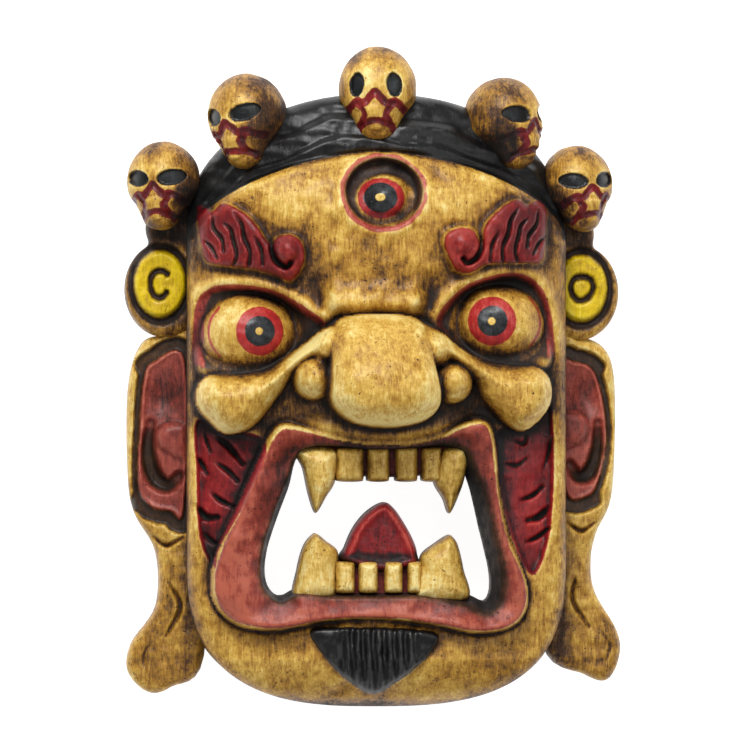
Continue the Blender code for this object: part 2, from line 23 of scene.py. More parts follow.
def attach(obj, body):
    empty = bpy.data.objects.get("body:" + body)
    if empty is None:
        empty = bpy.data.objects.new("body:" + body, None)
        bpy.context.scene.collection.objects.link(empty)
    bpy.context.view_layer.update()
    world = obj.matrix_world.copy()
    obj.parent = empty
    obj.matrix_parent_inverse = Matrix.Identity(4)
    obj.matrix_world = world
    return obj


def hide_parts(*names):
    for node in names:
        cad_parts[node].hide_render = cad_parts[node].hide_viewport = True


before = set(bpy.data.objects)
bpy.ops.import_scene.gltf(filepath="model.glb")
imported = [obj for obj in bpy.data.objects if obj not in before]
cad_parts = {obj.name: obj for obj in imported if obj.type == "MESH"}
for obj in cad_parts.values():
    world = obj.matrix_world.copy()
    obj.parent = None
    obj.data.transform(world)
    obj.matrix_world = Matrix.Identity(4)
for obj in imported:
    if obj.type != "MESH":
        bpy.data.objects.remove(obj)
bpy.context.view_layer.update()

LOG = logging.getLogger("cham_mask")

Pair = Tuple[float, float]
Triple = Tuple[float, float, float]
Field = np.ndarray
Colour = Tuple[int, int, int]

NODE = "mask"
BODY = "root"

# Carving units to metres, along x, y and z, and the step that centres the outline.
TO_METRES = np.array((1.0e-3, 1.0095e-3, 0.990e-3))
CENTRE = np.array((-0.5, 0.0, 0.0))
SHRINK = 0.9985


# Small tools for heights and distances.


def soft_step(low: float, high: float, value: Field) -> Field:
    """Rises smoothly from 0 at low to 1 at high."""
    share = np.clip((value - low) / (high - low), 0, 1)
    return share * share * (3 - 2 * share)


def join_high(first: Field, second: Field, blend: float) -> Field:
    """The higher of two heights, with a fillet about as wide as blend."""
    share = np.clip(0.5 + 0.5 * (first - second) / blend, 0, 1)
    return second + (first - second) * share + blend * share * (1 - share)


def mound(z: Field, share: Field, foot: float, rise: float, blend: float) -> Field:
    """Adds a lump standing rise over its foot where share is 1, and nothing where it is 0."""
    return join_high(z, np.where(share > 0, foot + rise * share, foot - 90), blend)


def local(x: Field, y: Field, middle: Pair, radii: Pair, turn: float) -> Tuple[Field, Field]:
    """Coordinates in an oval's own axes, 1 at its edge.

    Args:
        x: places across the face.
        y: places along the face.
        middle: the oval's middle.
        radii: its two half widths.
        turn: its turn in degrees.

    Returns:
        the places across and along the oval.
    """
    cos, sin = math.cos(math.radians(turn)), math.sin(math.radians(turn))
    across = ((x - middle[0]) * cos + (y - middle[1]) * sin) / radii[0]
    along = ((y - middle[1]) * cos - (x - middle[0]) * sin) / radii[1]
    return across, along


def dome(x: Field, y: Field, middle: Pair, radii: Pair, turn: float = 0.0) -> Field:
    """Half a ball: 1 at the middle, 0 from the radii outwards."""
    across, along = local(x, y, middle, radii, turn)
    return np.sqrt(np.clip(1 - across**2 - along**2, 0, None))


def oval(x: Field, y: Field, middle: Pair, radii: Pair, turn: float = 0.0) -> Field:
    """About the distance inwards from the edge of an oval, negative outside."""
    across, along = local(x, y, middle, radii, turn)
    return (1 - np.hypot(across, along)) * min(radii)


def smooth_line(points: Sequence[Pair], closed: bool, steps: int = 6) -> np.ndarray:
    """A smooth line through the points, as short straight runs.

    Args:
        points: the corners of the line.
        closed: whether it ends where it starts.
        steps: straight runs from one corner to the next.

    Returns:
        the points, one a row.
    """
    given = np.array(points, float)
    if closed:
        ring = np.vstack([given[-1], given, given[:2]])
    else:
        ring = np.vstack([2 * given[0] - given[1], given, 2 * given[-1] - given[-2]])
    line = []
    for a, b, c, d in zip(ring, ring[1:], ring[2:], ring[3:]):
        for t in np.arange(steps) / steps:
            straight = 2 * b + (c - a) * t
            bend = (2 * a - 5 * b + 4 * c - d) * t**2
            twist = (3 * (b - c) + d - a) * t**3
            line.append(0.5 * (straight + bend + twist))
    if not closed:
        line.append(given[-1])
    return np.array(line)


def to_line(x: Field, y: Field, line: np.ndarray, reach: float = 1e9) -> Tuple[Field, Field]:
    """Distance from a line and the share of the way along it, out to reach from its box.

    Args:
        x: places across the face.
        y: places along the face.
        line: the points of the line.
        reach: how far off the line it is worked out.

    Returns:
        the distance and the share.
    """
    nearest = np.full(np.shape(x), reach, float)
    place = np.zeros(np.shape(x))
    low, high = line.min(axis=0) - reach, line.max(axis=0) + reach
    near = (x > low[0]) & (x < high[0]) & (y > low[1]) & (y < high[1])
    if not near.any():
        return nearest, place
    px, py = x[near], y[near]
    best, where = nearest[near], place[near]
    for number, (start, end) in enumerate(zip(line, line[1:])):
        run = end - start
        share = np.clip(((px - start[0]) * run[0] + (py - start[1]) * run[1]) / max(run @ run, 1e-9), 0, 1)
        gap = np.hypot(px - start[0] - share * run[0], py - start[1] - share * run[1])
        closer = gap < best
        best = np.where(closer, gap, best)
        where = np.where(closer, (number + share) / (len(line) - 1), where)
    nearest[near], place[near] = best, where
    return nearest, place


def inwards(x: Field, y: Field, points: Sequence[Pair], reach: float = 26.0) -> Field:
    """Distance inwards from a smooth closed outline, negative outside it, told out to reach.

    Args:
        x: places across the face.
        y: places along the face.
        points: the corners of the outline.
        reach: how far off the outline it is worked out.

    Returns:
        the distance at each place.
    """
    loop = smooth_line(points, True)
    loop = np.vstack([loop, loop[0]])
    gap, _ = to_line(x, y, loop, reach)
    inside = np.zeros(np.shape(x), bool)
    low, high = loop.min(axis=0), loop.max(axis=0)
    near = (x >= low[0]) & (x <= high[0]) & (y >= low[1]) & (y <= high[1])
    px, py = x[near], y[near]
    flips = np.zeros(px.shape, bool)
    for start, end in zip(loop, loop[1:]):
        if start[1] != end[1]:
            spans = (start[1] > py) != (end[1] > py)
            flips ^= spans & (px < start[0] + (py - start[1]) * (end[0] - start[0]) / (end[1] - start[1]))
    inside[near] = flips
    return np.where(inside, gap, -gap)


def table(inset: Field, top: float, rounding: float, slope: float) -> Field:
    """A flat-topped rise with a rounded shoulder, from the distance inwards.

    Args:
        inset: distance inwards from the edge.
        top: height of the flat top.
        rounding: radius of the shoulder.
        slope: how steeply the wall falls outside.

    Returns:
        the height at each place.
    """
    bend = np.clip(rounding - inset, 0, rounding)
    shoulder = top - rounding + np.sqrt(np.clip(rounding**2 - bend**2, 0, None))
    return np.where(inset > 0, shoulder, top - rounding + slope * inset)


def pillow(inset: Field, reach: float) -> Field:
    """A stuffed form over an outline: 0 at its edge, 1 from the reach inwards."""
    share = np.clip(inset / reach, 0, 1)
    return np.sqrt(share * (2 - share))


def height_along(y: Field, points: Sequence[Pair]) -> Field:
    """A smooth profile of heights along the face."""
    line = smooth_line(sorted(points), False)
    return np.interp(y, line[:, 0], line[:, 1])


def wander(x: Field, y: Field, size: float, seed: int) -> Field:
    """Gentle unevenness between -1 and 1, about size across, as a knife leaves.

    Args:
        x: places across the face.
        y: places along the face.
        size: about how wide the waves are.
        seed: start of the random draws.

    Returns:
        the unevenness at each place.
    """
    maker = np.random.default_rng(seed)
    total = np.zeros(np.shape(x))
    for _ in range(7):
        angle, phase = maker.uniform(0, 2 * math.pi, 2)
        scale = size * maker.uniform(0.7, 1.6)
        total += np.sin(2 * math.pi * (x * math.cos(angle) + y * math.sin(angle)) / scale + phase)
    return total / 4.0


# Carving strokes.


@dataclass(frozen=True)
class Gouge:
    """One cut of a gouge: its line, its greatest width and its depth."""

    path: Tuple[Pair, ...]
    width: float
    depth: float
    blunt_end: float = 0.0

    def taken(self, x: Field, y: Field) -> Field:
        """How much the cut takes away at each place.

        Args:
            x: places across the face.
            y: places along the face.

        Returns:
            the depth taken away.
        """
        gap, place = to_line(x, y, smooth_line(self.path, False), self.width + 1)
        taper = np.sqrt(np.clip(np.sin(np.pi * np.clip(place, 0.03, 0.97)), 0, 1))
        taper = np.maximum(taper, self.blunt_end * soft_step(0.3, 0.8, place))
        half = 0.5 * self.width * (0.35 + 0.65 * taper)
        return self.depth * taper * soft_step(0, 1, 1.35 * (1 - gap / half))


def gouged(x: Field, y: Field, z: Field, cuts: Iterable[Gouge]) -> Field:
    """The height after all the cuts.

    Args:
        x: places across the face.
        y: places along the face.
        z: heights so far.
        cuts: the cuts.

    Returns:
        the new heights.
    """
    for cut in cuts:
        z = z - cut.taken(x, y)
    return z


# Outlines on the face, carving units.

HEAD_HALF = 115
CROWN_Y = 86
CROWN_RISE = 84
CHIN_Y = -111
CHIN_DROP = 87
SIDE_TOP = 62
CROWN_POWER = 2.15
JAW_POWER = 2.7
HAIRLINE_HALF = 112
HAIRLINE_RISE = 49
RIM_WIDTH = 16

EYE_LEFT = (
    (-33, 29), (-45, 40), (-66, 51), (-92, 54), (-107, 48), (-111, 28), (-109, 2), (-88, -4), (-60, 3),
    (-42, 16),
)  # fmt: skip
EYE_RIGHT = (
    (35, 33), (45, 48), (60, 57), (83, 61), (98, 52), (105, 30), (104, 6), (84, 4), (60, 10), (44, 21),
)  # fmt: skip
BROW_LEFT = (
    (-110, 101), (-105, 103), (-101, 99), (-94, 104), (-82, 98), (-75, 91), (-69, 82), (-65.5, 79),
    (-63, 83), (-56, 85), (-49, 82), (-46, 75), (-47, 66), (-54, 57), (-63, 60), (-76, 64), (-91, 66),
    (-104, 69), (-108, 82),
)  # fmt: skip
BROW_RIGHT = (
    (39, 85), (46, 89), (55, 88), (59, 82), (61, 79), (62, 88), (67, 96), (77, 104), (84, 106), (89, 103),
    (96, 106), (102, 101), (101, 88), (99, 70), (88, 68), (74, 68), (64, 67), (54, 62), (46, 63),
    (41, 70), (38, 78),
)  # fmt: skip
NOSE = (
    (-27, 33), (-14, 37), (12, 37), (25, 32), (28, 20), (34, -6), (33, -18), (23, -26), (3, -29),
    (-17, -26), (-29, -16), (-31, 0), (-30, 20),
)  # fmt: skip
CHEEK_LEFT = (
    (-18, 34), (-34, 29), (-46, 20), (-57, 12), (-70, 5), (-88, 2), (-104, 1), (-111, -9), (-108, -21),
    (-93, -34), (-75, -29), (-61, -12), (-50, 4), (-38, 12), (-24, 18),
)  # fmt: skip
CHEEK_RIGHT = (
    (18, 34), (36, 27), (48, 18), (62, 11), (80, 8), (96, 6), (104, -3), (103, -18), (91, -31), (80, -31),
    (65, -18), (57, -4), (48, 4), (38, 11), (24, 18),
)  # fmt: skip
LIPS = (
    (-62, -31), (-48, -30), (-28, -36), (0, -40), (30, -37), (51, -28), (64, -28), (69, -42), (71, -66),
    (76, -93), (85, -115), (89, -131), (86, -143), (76, -150), (58, -152), (30, -147), (0, -144),
    (-31, -145), (-62, -150), (-83, -148), (-96, -138), (-100, -122), (-95, -102), (-84, -78), (-73, -53),
)  # fmt: skip
MOUTH = (
    (-44, -44), (0, -45), (42, -44), (53, -60), (61, -90), (68, -120), (65, -134), (53, -130), (30, -128),
    (0, -128), (-30, -128), (-48, -126), (-60, -131), (-68, -122), (-67, -102), (-55, -68),
)  # fmt: skip
BEARD = (
    (-42, -151), (-20, -149), (18, -150), (36, -154), (30, -167), (12, -182), (-3, -190), (-19, -182),
    (-34, -167),
)  # fmt: skip
FLAME_LEFT = (
    (-110, -26), (-92, -31), (-70, -37), (-73, -60), (-96, -101), (-99, -114), (-108, -96), (-110, -56),
)  # fmt: skip
FLAME_RIGHT = ((104, -15), (90, -27), (71, -32), (72, -55), (79, -92), (93, -119), (104, -96), (107, -50))
EAR_LEFT = (
    (-104, 22), (-130, 25), (-143, 18), (-150, -8), (-150, -58), (-146, -82), (-133, -106), (-133, -138),
    (-148, -161), (-150, -178), (-138, -190), (-124, -187), (-104, -168), (-104, -70),
)  # fmt: skip
EAR_RIGHT = (
    (104, 24), (127, 24), (141, 17), (147, 0), (147.5, -38), (145, -74), (136, -94), (132.5, -111),
    (135, -130), (148.5, -153), (150.5, -168), (143, -183), (129, -180), (104, -161), (104, -70),
)  # fmt: skip
PANEL_LEFT = (
    (-115.5, 10), (-135, 9), (-141, -2), (-143.5, -35), (-144, -66), (-137, -78), (-125, -81),
    (-116, -79),
)  # fmt: skip
PANEL_RIGHT = ((114, 4), (123, 9), (134, 4), (140, -14), (142, -38), (138, -60), (131, -72), (115.5, -67))
TRAGUS_LEFT = ((-113, -28), (-128, -27), (-134, -34), (-132, -43), (-128, -46), (-121, -51), (-113, -52))
TRAGUS_RIGHT = ((112, -21.5), (124.5, -20), (131.5, -28), (130, -37), (123, -43), (112, -45))


def head_reach(x: Field, y: Field, rise: float) -> Field:
    """1 on a head outline whose crown is that high, less inside it.

    Args:
        x: places across the face.
        y: places along the face.
        rise: height of the crown.

    Returns:
        the share of the way from the middle to the outline.
    """
    above = np.clip(y - CROWN_Y, 0, None) / rise
    below = np.clip(CHIN_Y - y, 0, None) / CHIN_DROP
    across = np.abs(x) / HEAD_HALF
    power = np.where(y > 0, CROWN_POWER, JAW_POWER)
    return (across**power + above**power + below**power) ** (1 / power)


def hairline(x: Field, y: Field) -> Field:
    """About the distance above the hairline, from temple to temple, negative on the forehead.

    Args:
        x: places across the face.
        y: places along the face.

    Returns:
        the distance at each place.
    """
    across = np.abs(x) / HAIRLINE_HALF
    above = np.clip(y - CROWN_Y, 0, None) / HAIRLINE_RISE
    return 80 * ((across**1.6 + above**1.6) ** 0.625 - 1)


def head_inset(x: Field, y: Field, inset: float = 0.0) -> Field:
    """About the distance inwards from the head's outline, drawn in by inset.

    Args:
        x: places across the face.
        y: places along the face.
        inset: how far the outline is drawn in first.

    Returns:
        the distance at each place.
    """
    crown = y > 0
    power = np.where(crown, CROWN_POWER, JAW_POWER)
    rise = np.where(crown, CROWN_RISE, CHIN_DROP) - inset
    along = np.where(crown, np.clip(y - CROWN_Y, 0, None), np.clip(CHIN_Y - y, 0, None)) / rise
    across = np.abs(x) / (HEAD_HALF - inset)
    reach = (across**power + along**power) ** (1 / power)
    scale = np.where(along > 0, np.minimum(rise, HEAD_HALF - inset), HEAD_HALF - inset)
    return (1 - reach) * scale


# Finishes.


def linear(colour: Colour) -> Tuple[float, float, float, float]:
    """A colour as seen on screen, turned into light."""
    made = [c / 255 / 12.92 if c <= 10 else ((c / 255 + 0.055) / 1.055) ** 2.4 for c in colour]
    return (made[0], made[1], made[2], 1.0)


@dataclass(frozen=True)
class Paint:
    """One hand-painted colour, from the stain and painted shade in its cuts to its worn and highlit high
    places.
    """

    deep: Colour
    shade: Colour
    body: Colour
    light: Colour
    worn: Colour
    rough: float = 0.42


class Palette(Enum):
    """The paints on the mask."""

    OCHRE = Paint((22, 13, 8), (84, 52, 22), (170, 122, 42), (216, 174, 78), (242, 220, 142), 0.44)
    CRIMSON = Paint((18, 6, 7), (56, 10, 14), (96, 15, 18), (124, 22, 23), (162, 50, 42), 0.40)
    FLAME = Paint((16, 8, 8), (62, 13, 17), (126, 23, 27), (158, 36, 37), (190, 74, 62), 0.42)
    LIP = Paint((22, 10, 8), (72, 26, 19), (122, 45, 34), (150, 61, 46), (182, 92, 70), 0.44)
    EAR_PINK = Paint((26, 13, 11), (88, 38, 32), (142, 61, 50), (172, 83, 67), (198, 120, 98), 0.45)
    BLACK = Paint((4, 4, 4), (8, 7, 7), (13, 12, 12), (20, 19, 19), (52, 50, 50), 0.33)
    EYE_RED = Paint((26, 7, 9), (88, 16, 24), (150, 31, 32), (174, 42, 40), (198, 84, 74), 0.38)
    PUPIL = Paint((6, 7, 8), (13, 15, 16), (22, 25, 27), (34, 38, 41), (62, 66, 70), 0.34)
    YELLOW = Paint((34, 24, 6), (122, 90, 8), (200, 164, 8), (228, 196, 18), (240, 220, 84), 0.38)
    SOCKET = Paint((14, 9, 7), (34, 21, 15), (54, 34, 24), (76, 49, 34), (104, 72, 50), 0.55)
    LID = Paint((28, 10, 9), (86, 30, 25), (138, 48, 40), (168, 70, 56), (194, 104, 84), 0.44)
    GUM = Paint((18, 7, 7), (50, 13, 13), (84, 20, 22), (112, 34, 32), (138, 60, 50), 0.46)
    IVORY = Paint((24, 15, 8), (88, 58, 24), (176, 132, 50), (222, 184, 92), (246, 226, 154), 0.38)
    # Brown stain; in the ear's hollow it is laid as painted shade too.
    DARK_STAIN_AND_SHADE = Paint((14, 9, 6), (34, 21, 13), (56, 36, 20), (82, 55, 30), (120, 86, 48), 0.5)
    BARE = Paint((34, 24, 16), (74, 54, 36), (112, 84, 56), (138, 108, 74), (158, 128, 92), 0.7)


@dataclass(frozen=True)
class Layer:
    """A paint and the border that it fills: positive distances are painted."""

    paint: Palette
    border: str
    softness: float = 0.45
    unevenness: float = 0.9


class Nodes:
    """Small helper that adds and joins shader nodes."""

    def __init__(self, material: bpy.types.Material) -> None:
        """Clears the material's tree.

        Args:
            material: the material whose tree is filled.
        """
        self.tree = material.node_tree
        self.tree.nodes.clear()

    def add(self, kind: str, **settings: object) -> bpy.types.Node:
        """Adds a node and sets its own properties.

        Args:
            kind: the node's type.
            settings: its own properties.

        Returns:
            the node.
        """
        node = self.tree.nodes.new(kind)
        for key, value in settings.items():
            setattr(node, key, value)
        return node

    def feed(self, node: bpy.types.Node, key: object, value: object) -> None:
        """Feeds a value or another node's output into a socket.

        Args:
            node: the node.
            key: the socket's name or number.
            value: a value, or another node's output.
        """
        if isinstance(value, bpy.types.NodeSocket):
            self.tree.links.new(value, node.inputs[key])
        else:
            node.inputs[key].default_value = value

    def maths(
        self, operation: str, first: object, second: object = 0.0, third: object = None
    ) -> bpy.types.NodeSocket:
        """One arithmetic step.

        Args:
            operation: what the step does.
            first: the first value.
            second: the second value.
            third: the third value, for steps that take one.

        Returns:
            its result.
        """
        node = self.add("ShaderNodeMath", operation=operation)
        self.feed(node, 0, first)
        self.feed(node, 1, second)
        if third is not None:
            self.feed(node, 2, third)
        return node.outputs[0]

    def attribute(self, name: str) -> bpy.types.NodeSocket:
        """A number kept on the mesh."""
        return self.add("ShaderNodeAttribute", attribute_name=name).outputs["Fac"]

    def noise(
        self, place: object, scale: float, detail: float = 3.0, rough: float = 0.55, twist: float = 0.0
    ) -> bpy.types.NodeSocket:
        """Cloudy noise between 0 and 1.

        Args:
            place: the coordinates.
            scale: how fine it is.
            detail: how many finer rounds it has.
            rough: how strong they are.
            twist: how much it is bent.

        Returns:
            the noise.
        """
        node = self.add("ShaderNodeTexNoise")
        self.feed(node, "Vector", place)
        self.feed(node, "Scale", scale)
        self.feed(node, "Detail", detail)
        self.feed(node, "Roughness", rough)
        self.feed(node, "Distortion", twist)
        return node.outputs["Fac"]

    def spread(self, value: object, low: float, high: float) -> bpy.types.NodeSocket:
        """Rises smoothly from 0 at low to 1 at high.

        Args:
            value: a value, or another node's output.
            low: where it starts.
            high: where it ends.

        Returns:
            the smooth step.
        """
        node = self.add("ShaderNodeMapRange", interpolation_type="SMOOTHSTEP")
        self.feed(node, "Value", value)
        self.feed(node, "From Min", low)
        self.feed(node, "From Max", high)
        return node.outputs["Result"]

    def stretched(self, scale: Triple) -> bpy.types.NodeSocket:
        """Object coordinates, stretched.

        Args:
            scale: how many times finer along each axis.

        Returns:
            the coordinates.
        """
        place = self.add("ShaderNodeTexCoord").outputs["Object"]
        mapping = self.add("ShaderNodeMapping")
        self.feed(mapping, "Vector", place)
        self.feed(mapping, "Scale", scale)
        return mapping.outputs["Vector"]

    def mix(self, share: object, first: object, second: object) -> bpy.types.NodeSocket:
        """Mixes two colours.

        Args:
            share: how much of the second one shows.
            first: the colour below.
            second: the colour over it.

        Returns:
            the mixed colour.
        """
        node = self.add("ShaderNodeMix", data_type="RGBA", blend_type="MIX")
        self.feed(node, 0, share)
        self.feed(node, 6, first)
        self.feed(node, 7, second)
        return node.outputs[2]


@dataclass(frozen=True)
class PaintedWood:
    """Painted, waxed and stained wood: a ground paint, the layers laid over it in order, and hand work.

    The grain says how much of the wood's grain and of the brush shows.
    """

    name: str
    ground: Palette
    layers: Tuple[Layer, ...] = ()
    grain: float = 1.0

    def tone(self, nodes: Nodes) -> Tuple[bpy.types.NodeSocket, Dict[str, bpy.types.NodeSocket]]:
        """The place on each paint's ramp, from 0 in the cuts to 1 on worn edges, painted shade and highlight
        included.

        Args:
            nodes: the material's nodes.

        Returns:
            the tone, and the marks that the gloss and the relief follow too.
        """
        fine = nodes.stretched((1.0, 1.0, 1.0))
        streaks = nodes.noise(nodes.stretched((430.0, 75.0, 260.0)), 1.0, 6.0, 0.66, 1.3)
        cross = nodes.noise(nodes.stretched((120.0, 330.0, 300.0)), 1.0, 4.0, 0.6, 1.5)
        smudge = nodes.noise(nodes.stretched((1.0, 0.8, 1.0)), 17.0, 3.0, 0.55)
        cloud = nodes.noise(nodes.stretched((1.3, 0.8, 1.0)), 44.0, 5.0, 0.62)
        mottle = nodes.noise(fine, 190.0, 6.0, 0.72)
        value = nodes.maths("MULTIPLY_ADD", nodes.attribute("tone"), 1.0, 0.0)
        marks_laid = ((streaks, 0.84), (cross, 0.22), (smudge, 0.68), (cloud, 0.64), (mottle, 0.68))
        for source, amount in marks_laid:
            offset = nodes.maths("SUBTRACT", source, 0.5)
            value = nodes.maths("MULTIPLY_ADD", offset, amount * self.grain, value)
        patches = nodes.spread(nodes.noise(fine, 55.0, 2.0, 0.5), 0.40, 0.60)
        specks = nodes.spread(nodes.noise(fine, 560.0, 2.0, 0.5), 0.65, 0.74)
        specks = nodes.maths("MULTIPLY", specks, patches)
        worn = nodes.spread(nodes.noise(nodes.stretched((1.0, 0.7, 1.0)), 70.0, 3.0, 0.6), 0.46, 0.62)
        scratch = nodes.noise(nodes.stretched((1100.0, 170.0, 600.0)), 1.0, 3.0, 0.55, 1.6)
        scratch = nodes.spread(scratch, 0.62, 0.70)
        scratch = nodes.maths("MULTIPLY", scratch, worn)
        marks = min(self.grain, 1.0)
        value = nodes.maths("MULTIPLY_ADD", specks, -0.55 * marks, value)
        value = nodes.maths("MULTIPLY_ADD", scratch, -0.44 * marks, value)
        return value, {"streaks": streaks, "mottle": mottle, "scratch": scratch, "specks": specks}

    def ramp(self, nodes: Nodes, paint: Paint, value: bpy.types.NodeSocket) -> bpy.types.NodeSocket:
        """The paint's colour for that tone.

        Args:
            nodes: the material's nodes.
            paint: the paint.
            value: the tone.

        Returns:
            the colour.
        """
        node = nodes.add("ShaderNodeValToRGB")
        stops = node.color_ramp
        stops.interpolation = "LINEAR"
        first, last = stops.elements
        first.position, first.color = 0.06, linear(paint.deep)
        last.position, last.color = 1.0, linear(paint.worn)
        for where, colour in ((0.30, paint.shade), (0.55, paint.body), (0.78, paint.light)):
            stop = stops.elements.new(where)
            stop.color = linear(colour)
        nodes.feed(node, "Fac", value)
        return node.outputs["Color"]

    def build(self) -> bpy.types.Material:
        """Builds the material.

        Returns:
            the finished material.
        """
        material = bpy.data.materials.new(self.name)
        material.use_nodes = True
        nodes = Nodes(material)
        value, marks = self.tone(nodes)
        colour = self.ramp(nodes, self.ground.value, value)
        rough: object = self.ground.value.rough
        wobble = nodes.noise(nodes.stretched((1.0, 1.0, 1.0)), 240.0, 3.0, 0.6)
        wobble = nodes.maths("SUBTRACT", wobble, 0.5)
        for layer in self.layers:
            paint = layer.paint.value
            border = nodes.attribute(layer.border)
            border = nodes.maths("MULTIPLY_ADD", wobble, 2.0 * layer.unevenness, border)
            share = nodes.spread(border, -layer.softness, layer.softness)
            colour = nodes.mix(share, colour, self.ramp(nodes, paint, value))
            rough = nodes.maths("MULTIPLY_ADD", share, paint.rough - self.ground.value.rough, rough)
        rough = nodes.maths("MULTIPLY_ADD", nodes.maths("SUBTRACT", marks["mottle"], 0.5), 0.22, rough)
        rough = nodes.maths("MULTIPLY_ADD", nodes.spread(value, 0.45, 0.1), 0.25, rough)
        relief = nodes.maths("MULTIPLY", marks["mottle"], 0.6)
        relief = nodes.maths("MULTIPLY_ADD", marks["streaks"], 0.5, relief)
        relief = nodes.maths("MULTIPLY_ADD", marks["specks"], -0.8, relief)
        relief = nodes.maths("MULTIPLY_ADD", marks["scratch"], -0.6, relief)
        facets = nodes.add("ShaderNodeTexVoronoi", feature="SMOOTH_F1")
        nodes.feed(facets, "Vector", nodes.stretched((1.0, 0.7, 1.0)))
        nodes.feed(facets, "Scale", 105.0)
        relief = nodes.maths("MULTIPLY_ADD", facets.outputs["Distance"], 1.3, relief)
        bump = nodes.add("ShaderNodeBump")
        nodes.feed(bump, "Strength", 0.42)
        nodes.feed(bump, "Distance", 0.0009)
        nodes.feed(bump, "Height", relief)
        shader = nodes.add("ShaderNodeBsdfPrincipled")
        nodes.feed(shader, "Base Color", colour)
        nodes.feed(shader, "Roughness", rough)
        nodes.feed(shader, "Normal", bump.outputs["Normal"])
        nodes.feed(shader, "Specular IOR Level", 0.36)
        nodes.feed(shader, "Coat Weight", 0.04)
        nodes.feed(shader, "Coat Roughness", 0.32)
        output = nodes.add("ShaderNodeOutputMaterial")
        nodes.feed(output, "Surface", shader.outputs["BSDF"])
        return material


# Finished pieces.

# Rounds of smoothing, weight, and how far a raised or a sunk place still counts: sunk places take painted
# shade with the patina, raised ones wear with painted highlight.
SHADE_AND_WEAR_SIZES = ((3, 0.14, 0.8, 2.6), (12, 0.062, 1.1, 4.5), (40, 0.022, 1.8, 8.0))


def neighbours_mean(values: np.ndarray, edges: np.ndarray, count: int) -> np.ndarray:
    """Each point's mean over itself and its neighbours.

    Args:
        values: one row of numbers for each point.
        edges: the two points of each edge.
        count: how many points there are.

    Returns:
        the means, one row for each point.
    """
    total = values.copy()
    for column in range(values.shape[1]):
        total[:, column] += np.bincount(edges[:, 0], values[edges[:, 1], column], count)
        total[:, column] += np.bincount(edges[:, 1], values[edges[:, 0], column], count)
    number = 1.0 + np.bincount(edges[:, 0], minlength=count) + np.bincount(edges[:, 1], minlength=count)
    return total / number[:, None]


@dataclass
class Piece:
    """A finished mesh piece in carving units, with its paint borders."""

    name: str
    builder: bmesh.types.BMesh
    material: PaintedWood
    borders: Dict[str, np.ndarray] = field(default_factory=dict)
    darker: Optional[np.ndarray] = None
    base_tone: float = 0.62
    contrast: float = 1.0

    def tone_of(self, mesh: bpy.types.Mesh) -> np.ndarray:
        """Painted shade and patina in the cuts, wear and painted highlight on the edges, from the form at
        three sizes.

        Args:
            mesh: the mesh of the piece.

        Returns:
            the tone at each point.
        """
        count = len(mesh.vertices)
        points = np.empty(count * 3)
        mesh.vertices.foreach_get("co", points)
        points = points.reshape(-1, 3)
        normals = np.empty(count * 3, np.float32)
        mesh.vertices.foreach_get("normal", normals)
        normals = normals.reshape(-1, 3)
        edges = np.empty(len(mesh.edges) * 2, np.int64)
        mesh.edges.foreach_get("vertices", edges)
        edges = edges.reshape(-1, 2)
        moved = points.copy()
        tone = np.full(count, self.base_tone)
        done = 0
        for rounds, weight, raised, sunk in SHADE_AND_WEAR_SIZES:
            for _ in range(rounds - done):
                moved = neighbours_mean(moved, edges, count)
            done = rounds
            depth = ((moved - points) * normals).sum(axis=1)
            tone -= weight * self.contrast * np.clip(depth, -raised, sunk)
        if self.darker is not None:
            tone -= self.darker
        return np.clip(tone, 0.02, 1.0)

    def finish(self) -> bpy.types.Object:
        """Writes the mesh in metres, hangs it under the root body and hides the imported part it stands in
        for.

        Returns:
            the finished object.
        """
        mesh = bpy.data.meshes.new(self.name)
        self.builder.to_mesh(mesh)
        self.builder.free()
        tone = self.tone_of(mesh)
        values = dict(self.borders, tone=tone)
        for key, numbers in values.items():
            kept = mesh.attributes.new(key, "FLOAT", "POINT")
            kept.data.foreach_set("value", np.clip(np.asarray(numbers, np.float32), -20, 20))
        count = len(mesh.vertices)
        points = np.empty(count * 3)
        mesh.vertices.foreach_get("co", points)
        points = (points.reshape(-1, 3) - CENTRE) * TO_METRES
        points[:, :2] *= SHRINK
        mesh.vertices.foreach_set("co", points.ravel())
        mesh.polygons.foreach_set("use_smooth", np.ones(len(mesh.polygons), bool))
        mesh.update()
        made = bpy.data.objects.new(self.name, mesh)
        bpy.context.scene.collection.objects.link(made)
        mesh.materials.append(self.material.build())
        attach(made, BODY)
        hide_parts(NODE)
        LOG.info("%s: %d points", self.name, count)
        return made


